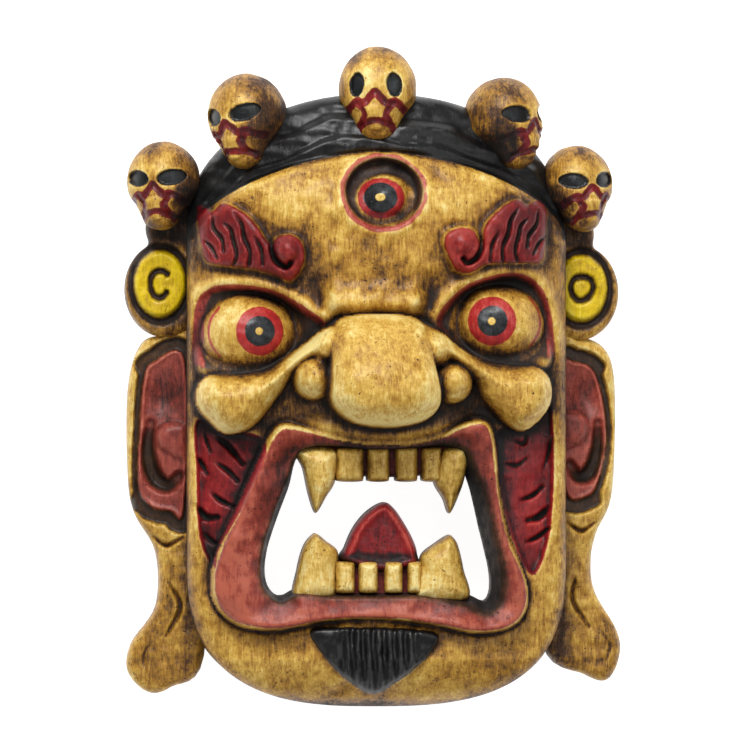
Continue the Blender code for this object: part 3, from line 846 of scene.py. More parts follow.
@dataclass(frozen=True)
class ReliefBlock:
    """A block carved from the front: a plan, a height over it and a skirt down to a floor.

    The plan is told by keep, the distance inwards from its edge, and the points stand a step apart.
    """

    low: Pair
    high: Pair
    step: float
    keep: Callable[[Field, Field], Field]

    def grid(self) -> bmesh.types.BMesh:
        """A flat grid trimmed to the plan, with its edge drawn onto the plan's edge.

        Returns:
            the flat grid.
        """
        builder = bmesh.new()
        columns = round((self.high[0] - self.low[0]) / self.step)
        rows = round((self.high[1] - self.low[1]) / self.step)
        bmesh.ops.create_grid(builder, x_segments=columns, y_segments=rows, size=0.5)
        width, height = self.high[0] - self.low[0], self.high[1] - self.low[1]
        verts = list(builder.verts)
        x = self.low[0] + (np.array([v.co.x for v in verts]) + 0.5) * width
        y = self.low[1] + (np.array([v.co.y for v in verts]) + 0.5) * height
        inset = self.keep(x, y)
        for vert, a, b in zip(verts, x, y):
            vert.co = (a, b, 0)
        builder.verts.index_update()
        out = inset < 0
        gone = [f for f in builder.faces if all(out[v.index] for v in f.verts)]
        bmesh.ops.delete(builder, geom=gone, context="FACES")
        builder.verts.ensure_lookup_table()
        loose = [v for v in builder.verts if not v.link_faces]
        bmesh.ops.delete(builder, geom=loose, context="VERTS")
        self.draw_to_edge(builder)
        return builder

    def draw_to_edge(self, builder: bmesh.types.BMesh) -> None:
        """Moves the points just outside the plan onto its edge.

        Args:
            builder: the mesh being built.
        """
        verts = list(builder.verts)
        for _ in range(3):
            x = np.array([v.co.x for v in verts])
            y = np.array([v.co.y for v in verts])
            inset = self.keep(x, y)
            rim = np.array([v.is_boundary for v in verts])
            nudge = 0.05
            slope_x = (self.keep(x + nudge, y) - self.keep(x - nudge, y)) / (2 * nudge)
            slope_y = (self.keep(x, y + nudge) - self.keep(x, y - nudge)) / (2 * nudge)
            size = np.clip(slope_x**2 + slope_y**2, 0.2, None)
            move = np.where((inset < 0) | rim, -inset / size, 0)
            move = np.clip(move, -1.6 * self.step, 1.6 * self.step)
            for vert, a, b, m, p, q in zip(verts, x, y, move, slope_x, slope_y):
                if m:
                    vert.co.x, vert.co.y = a + m * p, b + m * q

    def carve(self, height: Callable[[Field, Field], Field]) -> bmesh.types.BMesh:
        """The trimmed grid at its heights.

        Args:
            height: the carved height over the plan.

        Returns:
            the carved front, open at its edges.
        """
        builder = self.grid()
        verts = list(builder.verts)
        x = np.array([v.co.x for v in verts])
        y = np.array([v.co.y for v in verts])
        for vert, c in zip(verts, height(x, y)):
            vert.co.z = c
        return builder

    @staticmethod
    def skirt(builder: bmesh.types.BMesh, floor: Callable[[float, float], float], rows: int) -> None:
        """Drops the open edges of the block down to a floor in rows, so that the wall can be shaded.

        Args:
            builder: the mesh being built.
            floor: height of the floor under a place.
            rows: how many rows the wall has.
        """
        edge = [e for e in builder.edges if e.is_boundary]
        for row in range(rows):
            pushed = bmesh.ops.extrude_edge_only(builder, edges=edge)
            moved = [item for item in pushed["geom"] if isinstance(item, bmesh.types.BMVert)]
            edge = [item for item in pushed["geom"] if isinstance(item, bmesh.types.BMEdge)]
            for vert in moved:
                foot = floor(vert.co.x, vert.co.y)
                vert.co.z += (foot - vert.co.z) / (rows - row)


def places(builder: bmesh.types.BMesh) -> Tuple[Field, Field, Field]:
    """The points of a builder as three fields."""
    points = np.array([v.co for v in builder.verts])
    return points[:, 0], points[:, 1], points[:, 2]


# The face.


# Height of the smooth block along its middle, from the chin to the crown.
HEAD_PROFILE = (
    (-199, 58), (-190, 72), (-172, 84), (-150, 84), (-30, 86), (45, 90), (72, 99), (108, 100), (138, 82),
)  # fmt: skip


@dataclass(frozen=True)
class EyeForm:
    """One of the two great eyes."""

    socket: Tuple[Pair, ...]
    ball: Pair
    radii: Pair
    iris: Pair
    side: int
    iris_radii: Pair = (14.4, 14.6)
    pupil_radii: Pair = (9.1, 9.1)
    dot_radii: Pair = (2.3, 2.3)

    def carve(self, x: Field, y: Field, z: Field) -> Field:
        """A socket with a raised lid over it and a bulging eyeball that rests on the cheek.

        Args:
            x: places across the face.
            y: places along the face.
            z: heights so far.

        Returns:
            the new heights.
        """
        inset = inwards(x, y, self.socket)
        low = soft_step(self.ball[1] - 4, self.ball[1] - 22, y)
        floor = 73 - 5 * soft_step(80, 110, np.abs(x)) + 12 * low + 12 * soft_step(58, 38, np.abs(x))
        z = z + 4.5 * np.exp(-(((inset + 3.2) / 4.2) ** 2)) * (1 - 0.8 * low)
        z = z + (floor - z) * soft_step(-0.6, 3.6, inset)
        return mound(z, dome(x, y, self.ball, self.radii), 60, 35, 0.8 + 3.5 * low)

    def borders(self, x: Field, y: Field) -> Dict[str, Field]:
        """The lid's red line, the dark socket, the iris, the pupil, its dot and the red vein.

        Args:
            x: places across the face.
            y: places along the face.

        Returns:
            the distance inwards from each border, by name.
        """
        inset = inwards(x, y, self.socket)
        ball = oval(x, y, self.ball, self.radii)
        upper = y - (self.ball[1] - 19)
        outer = soft_step(98, 106, np.abs(x))
        lid = np.minimum(2.0 + 1.3 * outer - np.abs(inset - 0.7 - 1.6 * outer), 0.25 * upper)
        vein_line = [
            (self.ball[0] + self.side * 25.5 * math.cos(a), self.ball[1] + 2 + 22 * math.sin(a))
            for a in np.radians((-42, -20, 0, 20, 42))
        ]
        gap, _ = to_line(x, y, smooth_line(vein_line, False), 5)
        return {
            "socket": np.minimum(np.minimum(inset - 2.4, 0.5 - ball), 0.4 * (upper + 2)),
            "lid": lid,
            "iris": oval(x, y, self.iris, self.iris_radii),
            "pupil": oval(x, y, self.iris, self.pupil_radii),
            "dot": oval(x, y, (self.iris[0] - 0.6, self.iris[1]), self.dot_radii),
            "vein": 0.75 - gap,
        }


@dataclass(frozen=True)
class BrowForm:
    """A flame-shaped brow with flutes and a round curl."""

    outline: Tuple[Pair, ...]
    curl: Pair
    flutes: Tuple[Gouge, ...]

    def carve(self, x: Field, y: Field, z: Field) -> Field:
        """Raises the brow, cuts its flutes and sets the curl at its inner end.

        Args:
            x: places across the face.
            y: places along the face.
            z: heights so far.

        Returns:
            the new heights.
        """
        inset = inwards(x, y, self.outline)
        z = z + 4.5 * soft_step(-1.6, 1.2, inset) + 3.5 * pillow(inset, 6)
        z = z - 0.9 * np.exp(-(((inset + 3.2) / 1.8) ** 2))
        z = mound(z, dome(x, y, self.curl, (9.6, 9.8)), 92, 15, 1.2)
        return gouged(x, y, z, self.flutes)

    def borders(self, x: Field, y: Field) -> Dict[str, Field]:
        """The crimson paint and the dark bottoms of the flutes.

        Args:
            x: places across the face.
            y: places along the face.

        Returns:
            the distance inwards from each border, by name.
        """
        area = inwards(x, y, self.outline)
        cut = np.full(np.shape(x), -3.0)
        for flute in self.flutes:
            cut = np.maximum(cut, flute.taken(x, y) - 0.62 * flute.depth)
        return {"crimson": area - 0.1, "crimson_cut": np.minimum(cut * 1.2, area)}


def brow_flutes(side: int, shift: float, lift: float) -> Tuple[Gouge, ...]:
    """The S-shaped cuts of a brow and the notch in its top.

    Args:
        side: -1 for the left of the picture, 1 for the right.
        shift: how far the right brow sits off the left one's mirror image.
        lift: how much higher it sits.

    Returns:
        the cuts.
    """
    runs = (
        (((101, 97), (100, 89), (95, 82), (94, 75)), 2.8, 3.4),
        (((94, 92), (90, 88), (88.5, 82), (86.5, 73), (88, 67)), 2.8, 3.8),
        (((88, 98), (83.6, 91), (82, 83), (78.7, 75), (79, 67)), 3.0, 4.2),
        (((106, 82), (101, 77), (98, 71)), 2.6, 3.0),
        (((76, 84), (72, 76), (71, 67)), 2.6, 3.6),
        (((66, 81), (65.3, 74), (62.4, 68.4), (57, 65.4), (54.5, 68)), 3.8, 6.5),
    )
    return tuple(
        Gouge(tuple((side * (a - shift), b + lift) for a, b in path), 1.35 * width, 1.15 * depth, 0.8)
        for path, width, depth in runs
    )


def flame_cuts(side: int) -> Tuple[Gouge, ...]:
    """The wedges that cut the sunken cheeks into flames.

    Args:
        side: -1 for the left of the picture, 1 for the right.

    Returns:
        the cuts.
    """
    if side < 0:
        runs = (
            (((-105, -33), (-103, -40), (-101, -45)), 3.0, 3.6),
            (((-98, -36), (-90, -42), (-82, -52)), 6.0, 4.6),
            (((-109, -48), (-106, -53), (-103, -58)), 4.2, 4.4),
            (((-98, -51), (-91, -56), (-85, -62)), 4.6, 4.0),
            (((-101, -69), (-95, -74), (-87, -78)), 4.4, 4.0),
            (((-110, -77), (-104, -84), (-97, -84)), 6.4, 5.0),
            (((-105, -93), (-101, -98), (-95, -101)), 4.0, 4.0),
        )
    else:
        runs = (
            (((82, -38), (88, -40), (90, -36)), 4.0, 2.4),
            (((76, -52), (84, -53), (90, -49)), 3.6, 2.4),
            (((101, -55), (104, -45), (106, -36)), 3.2, 3.2),
            (((86, -74), (94, -71), (100, -66)), 4.2, 4.4),
            (((104, -78), (98, -84), (91, -86)), 6.4, 5.0),
            (((90, -99), (97, -96), (104, -91)), 4.2, 4.4),
        )
    return tuple(Gouge(path, width, depth, 0.7) for path, width, depth in runs)


@dataclass(frozen=True)
class LipForm:
    """Thick lips drawn back round the open mouth."""

    top: float = 100
    chin_drop: float = 4.5
    corner_drop: float = 10
    wall_foot: float = 74
    inward_slope: float = 11

    def crest(self, x: Field, y: Field) -> Field:
        """Height of the lips' flat band.

        Args:
            x: places across the face.
            y: places along the face.

        Returns:
            the height at each place.
        """
        low = self.chin_drop * soft_step(-124, -146, y)
        corner = self.corner_drop * soft_step(55, 100, np.abs(x))
        return self.top - low - corner + 0.5 * wander(x, y, 26, 5)

    @staticmethod
    def wall(x: Field, y: Field) -> Field:
        """Width of the sloping wall between the lips and the open mouth."""
        return 5.0 + 5.0 * soft_step(20, 60, x) - 2.5 * soft_step(-70, -48, y)

    def carve(self, x: Field, y: Field, z: Field) -> Field:
        """Raises the lips out of the face and turns them in to the mouth.

        Args:
            x: places across the face.
            y: places along the face.
            z: heights so far.

        Returns:
            the new heights.
        """
        outer = inwards(x, y, LIPS)
        inner = -inwards(x, y, MOUTH)
        crest = self.crest(x, y)
        lip = table(outer, 0, 4.0, 5.5) + crest
        wall = self.wall(x, y)
        slope = self.inward_slope * (1 - soft_step(0, 24, inner))
        lip = lip - slope - (crest - self.wall_foot) * (1 - soft_step(-0.5, 1, inner / wall)) ** 1.2
        z = z - 1.8 * np.exp(-(((outer + 1.8) / 1.7) ** 2))
        return np.where(outer > -2, np.where(outer > 1, lip, join_high(z, lip, 0.5)), z)

    def borders(self, x: Field, y: Field) -> Dict[str, Field]:
        """The lip's paint, with an ochre line left along its outer edge, and the mouth's dark wall.

        Args:
            x: places across the face.
            y: places along the face.

        Returns:
            the distance inwards from each border, by name.
        """
        outer = inwards(x, y, LIPS)
        inner = -inwards(x, y, MOUTH)
        edge = 0.3 + 1.3 * soft_step(-66, -48, y)
        return {
            "lip": outer - edge - 0.5 * wander(x, y, 22, 6),
            "mouth_wall": np.minimum(self.wall(x, y) * 0.85 + 1.2 - inner, outer),
        }


# Where broad brown stain or painted shade was laid, or the tone lightened: the middle, the radii and how much
# darker.
# The painted shade lies under the cheeks, under the left brow, on the lower nose and its wings and at the
# ends of the bridge roll; the lightened places ease the dark over the upper lip, in the crease above the nose
# and at the inner corners of the eyes.
PLACED_STAINS_AND_SHADE = (
    ((-62, -24), (15, 8), 0.16), ((62, -20), (13, 8), 0.16), ((-39, 46), (5, 12), 0.18),
    ((32, 47), (5, 12), 0.18), ((-60, 48), (20, 6), 0.12), ((-100, 112), (14, 8), 0.15),
    ((100, 112), (14, 8), 0.15), ((-36, 62), (10, 12), 0.10), ((34, 66), (9, 12), 0.10),
    ((0, -33), (46, 6), -0.30), ((-44, -34), (16, 5), -0.18), ((48, -31), (14, 5), -0.18),
    ((0, -20), (26, 9), 0.14), ((0, 38), (30, 3.5), -0.60), ((-40, 0), (12, 13), 0.16),
    ((43, -3), (12, 12), 0.16), ((-45, 24), (9, 9), -0.14), ((47, 30), (9, 9), -0.14),
    ((-90, -24), (16, 6), 0.12), ((88, -22), (15, 6), 0.12), ((-66, 84), (30, 16), 0.07),
    ((72, 88), (30, 16), 0.07), ((62, -176), (30, 13), 0.14), ((28, -160), (10, 12), 0.14),
)  # fmt: skip


@dataclass(frozen=True)
class HeadForm:
    """The whole carved head as one height over the plan."""

    eyes: Tuple[EyeForm, ...] = (
        EyeForm(EYE_LEFT, (-77.5, 25), (31, 27), (-72.6, 27.4), -1),
        EyeForm(EYE_RIGHT, (72, 31), (30, 26.5), (67.6, 33.4), 1),
    )
    brows: Tuple[BrowForm, ...] = (
        BrowForm(BROW_LEFT, (-55.8, 75.6), brow_flutes(-1, 0, 0)),
        BrowForm(BROW_RIGHT, (48.4, 79.6), brow_flutes(1, 5, 2.5)),
    )
    lips: LipForm = LipForm()
    pit: Pair = (1.5, 110)
    pit_ball: Pair = (3, 105.5)
    flames: Tuple[Tuple[Tuple[Pair, ...], Tuple[Gouge, ...]], ...] = (
        (FLAME_LEFT, flame_cuts(-1)),
        (FLAME_RIGHT, flame_cuts(1)),
    )

    @staticmethod
    def block(x: Field, y: Field) -> Field:
        """The smooth block of the head: brow, temples, chin and the fluted band of hair.

        Args:
            x: places across the face.
            y: places along the face.

        Returns:
            the height at each place.
        """
        across = np.abs(x) / HEAD_HALF
        low, high = HEAD_PROFILE[0][0], HEAD_PROFILE[-1][0]
        middle = height_along(np.clip(y, low, high), HEAD_PROFILE)
        skin = SIDE_TOP + (middle - SIDE_TOP) * (1 - np.clip(across, 0, 1) ** 2.8)
        inner = hairline(x, y) / 80
        outer = 1 - head_reach(x, y, CROWN_RISE)
        share = np.clip(inner / np.maximum(inner + np.clip(outer, 0, None), 1e-6), 0, 1)
        lock = 2.7 * share + 0.16 * np.sin(x / 21) + 0.10 * np.sin(x / 9 + 1)
        lock = (lock + 0.12 * wander(x, 2 * y, 40, 7)) % 1
        strand = 2.6 * (np.minimum(lock, 2.6 * (1 - lock)) - 0.36) + 0.8 * wander(x, 3 * y, 34, 3)
        roll = np.sqrt(np.clip(1 - 0.72 * share**2, 0, 1))
        band = 50 + 36 * (1 - np.clip(across, 0, 1) ** 2.2) * roll + strand
        above = soft_step(80, 87, y)
        in_band = soft_step(0.0, 0.05, inner) * above
        return skin * (1 - in_band) + band * in_band - 3.0 * np.exp(-((inner / 0.025) ** 2)) * above

    def third_eye(self, x: Field, y: Field, z: Field) -> Field:
        """A round pit in the forehead with an eyeball in it.

        Args:
            x: places across the face.
            y: places along the face.
            z: heights so far.

        Returns:
            the new heights.
        """
        inset = oval(x, y, self.pit, (25, 22.5))
        deep = 7 + 4 * soft_step(105, 122, y)
        z = z - deep * soft_step(0.5, 4.5, inset) + 1.0 * np.exp(-(((inset + 1.5) / 2.6) ** 2))
        return mound(z, dome(x, y, self.pit_ball, (18.5, 16)), 80, 18, 0.8)

    @staticmethod
    def cheek(x: Field, y: Field, z: Field, outline: Sequence[Pair]) -> Field:
        """The pear-shaped cheek, drawn out to a ridge that runs up under the eye to the nose.

        Args:
            x: places across the face.
            y: places along the face.
            z: heights so far.
            outline: the cheek's outline.

        Returns:
            the new heights.
        """
        inset = inwards(x, y, outline)
        lift = 20 * soft_step(72, 32, np.abs(x))
        reach = 10 + 5 * soft_step(50, 72, np.abs(x))
        return mound(z, pillow(inset, reach), 77 + lift, 27 - 0.4 * lift, 2.5)

    @staticmethod
    def nose(x: Field, y: Field, z: Field) -> Field:
        """The rolled bridge, the blunt nose and its two wings.

        Args:
            x: places across the face.
            y: places along the face.
            z: heights so far.

        Returns:
            the new heights.
        """
        z = mound(z, dome(x, y, (0, -4), (66, 44)), 66, 32, 8.0)
        z = mound(z, dome(x, y, (0, -31), (60, 17)), 78, 17, 4.0)
        ends = soft_step(-39, -27, x) * soft_step(31, 19, x)
        roll = 9.5 * np.exp(-(((y - 44.5) / 9.5) ** 2)) + 4 * soft_step(34, 44, y) * soft_step(84, 48, y)
        z = z + ends * (roll + 0.8 * wander(x, y, 15, 9))
        z = z - Gouge(((-33, 31), (-16, 37), (-2, 38), (12, 37), (29, 31)), 5, 1.2).taken(x, y)
        for middle, radii in (((-39.5, 0), (14, 14.5)), ((42.5, -3), (13.5, 13.5))):
            z = mound(z, dome(x, y, middle, radii) ** 0.8, 84, 33, 2.0)
        for outline in (CHEEK_LEFT, CHEEK_RIGHT):
            z = HeadForm.cheek(x, y, z, outline)
        profile = ((-40, 122), (-24, 140), (-10, 147), (6, 143), (24, 130), (40, 112))
        top = height_along(np.clip(y, -40, 40), profile) - 9 * (np.abs(x) / 34) ** 2.2
        z = join_high(z, table(inwards(x, y, NOSE), 0, 13, 13) + top, 1.5)
        for middle in ((-27, 19), (27, 17)):
            z = mound(z, dome(x, y, middle, (17, 12), -20 * np.sign(middle[0])), 92, 30, 7.0)
        return z

    @staticmethod
    def beard(x: Field, y: Field, z: Field) -> Field:
        """The little fluted beard on the chin.

        Args:
            x: places across the face.
            y: places along the face.
            z: heights so far.

        Returns:
            the new heights.
        """
        hair = inwards(x, y, BEARD)
        middle = soft_step(30, 16, np.abs(x + 1))
        strand = 1.3 * middle * np.cos(2 * math.pi * x / 6.4 + 0.7 * np.sin(y / 9))
        return z + soft_step(-0.5, 2.5, hair) * (2.5 + strand + 2.0 * pillow(hair, 12))

    def height(self, x: Field, y: Field) -> Field:
        """Height of the carved front of the head over the back rim.

        Args:
            x: places across the face.
            y: places along the face.

        Returns:
            the height at each place.
        """
        z = self.block(x, y)
        z = self.third_eye(x, y, z)
        for eye in self.eyes:
            z = eye.carve(x, y, z)
        for outline, cuts in self.flames:
            z = z - 5 * soft_step(-0.5, 3, inwards(x, y, outline))
            z = gouged(x, y, z, cuts)
        for brow in self.brows:
            z = brow.carve(x, y, z)
        z = self.nose(x, y, z)
        z = self.beard(x, y, z)
        z = self.lips.carve(x, y, z)
        z = z + 0.5 * wander(x, y, 21, 13) + 0.4 * wander(x, y, 14, 11) + 0.18 * wander(x, y, 7, 12)
        edge = np.clip(head_inset(x, y), 0, 7)
        return z - 7 + np.sqrt(np.clip(49 - (7 - edge) ** 2, 0, None))

    def borders(self, x: Field, y: Field) -> Dict[str, Field]:
        """Every painted border of the face.

        Args:
            x: places across the face.
            y: places along the face.

        Returns:
            the distance inwards from each border, by name.
        """
        made: Dict[str, Field] = {}
        for part in (*self.eyes, *self.brows, self.lips):
            for key, value in part.borders(x, y).items():
                made[key] = np.maximum(made[key], value) if key in made else value
        temple = np.minimum(hairline(x, y) - 0.6, (y - 82 - 0.35 * (np.abs(x) - 112)) * 0.8)
        made["hair"] = np.maximum(temple, inwards(x, y, BEARD) - 0.3)
        rim = oval(x, y, self.pit, (26.2, 23.8)) + 0.8 * wander(x, y, 12, 71)
        pit = oval(x, y, (2.0, 110.6), (23.8, 20.9))
        ball = oval(x, y, self.pit_ball, (18.0, 15.5))
        made["lid"] = np.maximum(made["lid"], np.minimum(rim, -pit))
        made["socket"] = np.maximum(made["socket"], np.minimum(pit, -ball + 0.2))
        made["iris"] = np.maximum(made["iris"], oval(x, y, (0.4, 106.6), (14.2, 12.2)))
        made["pupil"] = np.maximum(made["pupil"], oval(x, y, (0, 107), (10.0, 9.0)))
        made["dot"] = np.maximum(made["dot"], oval(x, y, (-0.4, 107.2), (3.0, 2.4)))
        flames = np.maximum(inwards(x, y, FLAME_LEFT), inwards(x, y, FLAME_RIGHT))
        raised = (inwards(x, y, CHEEK_LEFT), inwards(x, y, CHEEK_RIGHT), inwards(x, y, NOSE))
        off = -np.maximum.reduce(raised)
        made["flame_area"] = np.minimum(flames, off - 0.8)
        for key in ("lid", "socket"):
            made[key] = np.minimum(made[key], off - 1.5)
        cut = np.full(np.shape(x), -3.0)
        for _, cuts in self.flames:
            for one in cuts:
                cut = np.maximum(cut, one.taken(x, y) - 0.6 * one.depth)
        made["crimson_cut"] = np.maximum(made["crimson_cut"], np.minimum(cut * 1.2, flames + 1))
        return made

    def darker(self, x: Field, y: Field) -> Field:
        """Brown stain and painted shade in broad low places, round and under raised forms and towards the
        edges.

        Args:
            x: places across the face.
            y: places along the face.

        Returns:
            how much darker each place is.
        """
        lip = inwards(x, y, LIPS)
        below = soft_step(-52, -100, y)
        # Painted shade in the crevice round the lips, stronger below the mouth; just outside the lower lip it
        # is lightened instead.
        stain_and_shade = (0.12 - 0.20 * below) * np.exp(-(((lip + 3) / 3) ** 2))
        stain_and_shade += (0.10 + 0.16 * below) * np.exp(-(((lip - 0.3) / 1.5) ** 2))
        # Darker towards the head's outline, most round the chin.
        stain_and_shade += (0.12 + 0.14 * soft_step(-120, -165, y)) * np.exp(-np.clip(head_inset(x, y), 0, None) / 7)
        blotches = 0.12 - 0.25 * below + 0.12 * wander(x, y, 11, 77) + 0.10 * wander(x, y, 4.5, 79)
        stain_and_shade += soft_step(1, 3, lip) * blotches
        stain_and_shade += 0.26 * soft_step(1, 3, lip) * soft_step(15, 5, -inwards(x, y, MOUTH))
        # Painted shade on the side planes of the nose.
        stain_and_shade += 0.15 * soft_step(19, 31, np.abs(x - 2)) * soft_step(-3, 5, inwards(x, y, NOSE))
        # Painted shade towards the sides of the upper forehead.
        stain_and_shade += 0.10 * soft_step(58, 104, np.abs(x)) * soft_step(52, 70, y)
        stain_and_shade += 0.05 * wander(x, y, 58, 78) * soft_step(40, 60, y)
        # Painted shade round the foot of each brow.
        for brow in self.brows:
            stain_and_shade += 0.12 * np.exp(-(((inwards(x, y, brow.outline) + 5) / 5) ** 2))
        # Painted shade along the foot of each eyeball, and a little painted highlight over its dome.
        for eye in self.eyes:
            low = ((x - eye.ball[0]) / 25) ** 2 + ((y - eye.ball[1] + 21) / 7) ** 2
            stain_and_shade += 0.24 * np.exp(-low) - 0.05 * dome(x, y, eye.ball, eye.radii)
        for middle, radii, share in PLACED_STAINS_AND_SHADE:
            spread = ((x - middle[0]) / radii[0]) ** 2 + ((y - middle[1]) / radii[1]) ** 2
            stain_and_shade += share * np.exp(-spread)
        return stain_and_shade


class Hollows:
    """How far a carved front lies under the mean of its surroundings, at two widths, for painted shade and
    brown patina in its hollows.
    """

    STEP = 1.6
    MOUTH_LEVEL = 84

    def __init__(self, height: Callable[[Field, Field], Field], low: Pair, high: Pair) -> None:
        """Works out how deep each place of the plan lies.

        Args:
            height: the carved height over the plan.
            low: lowest x and y of the plan.
            high: highest x and y.
        """
        self.low = low
        across = np.arange(low[0], high[0], self.STEP)
        along = np.arange(low[1], high[1], self.STEP)
        x, y = np.meshgrid(across, along)
        flat = height(x.ravel(), y.ravel()).reshape(x.shape)
        flat = np.where(inwards(x.ravel(), y.ravel(), MOUTH).reshape(x.shape) > 0, self.MOUTH_LEVEL, flat)
        self.depths = {width: self.blurred(flat, width) - flat for width in (5.0, 13.0)}

    def blurred(self, flat: Field, width: float) -> Field:
        """The heights averaged over that width.

        Args:
            flat: the heights on the grid.
            width: how wide the mean is.

        Returns:
            the mean heights.
        """
        for axis in (0, 1):
            count = flat.shape[axis]
            apart = (np.arange(count)[:, None] - np.arange(count)[None, :]) * self.STEP
            share = np.exp(-0.5 * (apart / width) ** 2)
            share /= share.sum(axis=1, keepdims=True)
            flat = share @ flat if axis == 0 else flat @ share.T
        return flat

    def stain_and_shade(self, x: Field, y: Field) -> Field:
        """The painted shade and brown patina at each place, the deeper the darker.

        Args:
            x: places across the face.
            y: places along the face.

        Returns:
            how much darker each place is.
        """
        column = (x - self.low[0]) / self.STEP
        row = (y - self.low[1]) / self.STEP
        total = np.zeros(np.shape(x))
        for depths, rate, most in ((self.depths[5.0], 0.034, 5), (self.depths[13.0], 0.018, 9)):
            left = np.clip(np.floor(column).astype(int), 0, depths.shape[1] - 2)
            lower = np.clip(np.floor(row).astype(int), 0, depths.shape[0] - 2)
            a, b = np.clip(column - left, 0, 1), np.clip(row - lower, 0, 1)
            near = depths[lower, left] * (1 - a) + depths[lower, left + 1] * a
            far = depths[lower + 1, left] * (1 - a) + depths[lower + 1, left + 1] * a
            total += rate * np.clip(near * (1 - b) + far * b, -4, most)
        return total


@dataclass(frozen=True)
class FacePieces:
    """The carved front of the head and the hollowed back behind it."""

    form: HeadForm = HeadForm()
    low: Pair = (-118, -201)
    high: Pair = (118, 173)
    front_step: float = 1.0
    back_step: float = 2.0
    shallow: float = 22
    deepening: float = 52

    LAYERS = (
        Layer(Palette.BLACK, "hair"),
        Layer(Palette.SOCKET, "socket", 1.2, 0.8),
        Layer(Palette.LID, "lid", 0.5, 0.7),
        Layer(Palette.FLAME, "flame_area"),
        Layer(Palette.CRIMSON, "crimson"),
        Layer(Palette.SOCKET, "crimson_cut", 0.4, 0.3),
        Layer(Palette.LIP, "lip", 0.5, 1.1),
        Layer(Palette.SOCKET, "mouth_wall", 2.6, 2.6),
        Layer(Palette.EYE_RED, "iris", 0.35, 0.5),
        Layer(Palette.EYE_RED, "vein", 0.5, 0.5),
        Layer(Palette.PUPIL, "pupil", 0.35, 0.5),
        Layer(Palette.IVORY, "dot", 0.35, 0.4),
    )

    @staticmethod
    def plan(x: Field, y: Field) -> Field:
        """The head's plan with the mouth open in it."""
        return np.minimum(head_inset(x, y), -inwards(x, y, MOUTH))

    def hollow(self, x: Field, y: Field) -> Field:
        """Height of the gouged-out back, 0 on the flat rim.

        Args:
            x: places across the face.
            y: places along the face.

        Returns:
            the height at each place.
        """
        across = np.clip(np.abs(x) / (HEAD_HALF - RIM_WIDTH), 0, 1)
        crown = np.clip((y - 40) / 115, 0, 1)
        chin = np.clip((-80 - y) / 105, 0, 1)
        deep = self.shallow + self.deepening * (1 - across**3.2) * (1 - crown**3) * (1 - chin**3)
        deep = deep + 0.9 * wander(x, y, 14, 21) + 0.5 * wander(x, y, 6, 22)
        inside = head_inset(x, y, RIM_WIDTH)
        return deep * soft_step(-0.6, 1.6, inside)

    def front(self) -> Piece:
        """The painted front.

        Returns:
            the face.
        """
        block = ReliefBlock(self.low, self.high, self.front_step, self.plan)
        builder = block.carve(self.form.height)
        ReliefBlock.skirt(builder, self.foot, 12)
        x, y, z = places(builder)
        borders = self.form.borders(x, y)
        below = soft_step(58, 46, z)
        for key in borders:
            if key != "hair":
                borders[key] = np.where(below > 0.5, -5, borders[key])
        edge = head_inset(x, y)
        borders["mouth_wall"] = np.where(edge > 6, borders["mouth_wall"], -5)
        side = (edge < 0.6) * soft_step(60, 10, z)
        # The face darkens with painted shade and brown patina in its hollows, with its own stains and painted
        # shade, and low down its outer wall.
        hollows = Hollows(self.form.height, self.low, self.high)
        darker = self.form.darker(x, y) + hollows.stain_and_shade(x, y) + 0.20 * side
        material = PaintedWood("painted_face", Palette.OCHRE, self.LAYERS)
        return Piece("face", builder, material, borders, darker, 0.60)

    def foot(self, x: float, y: float) -> float:
        """Where the skirt under an open edge ends: the rim outside, the hollow inside the mouth.

        Args:
            x: place across the face.
            y: place along the face.

        Returns:
            the height of the skirt's foot.
        """
        if abs(x) < 80 and -140 < y < -36:
            across = abs(x) / (HEAD_HALF - RIM_WIDTH)
            chin = max(0.0, (-80 - y) / 105)
            return self.shallow + self.deepening * (1 - across**3.2) * (1 - chin**3)
        return 0.0

    def back(self) -> Piece:
        """The flat rim and the bare gouged hollow.

        Returns:
            the hollow.
        """
        block = ReliefBlock(self.low, self.high, self.back_step, self.plan)
        builder = block.carve(self.hollow)
        bmesh.ops.reverse_faces(builder, faces=builder.faces[:])
        material = PaintedWood("bare_hollow", Palette.BARE, (), 1.3)
        return Piece("hollow_back", builder, material, {}, None, 0.55, 0.5)

    def build(self) -> List[Piece]:
        """The painted front and the bare back."""
        return [self.front(), self.back()]


# The ears and their discs.


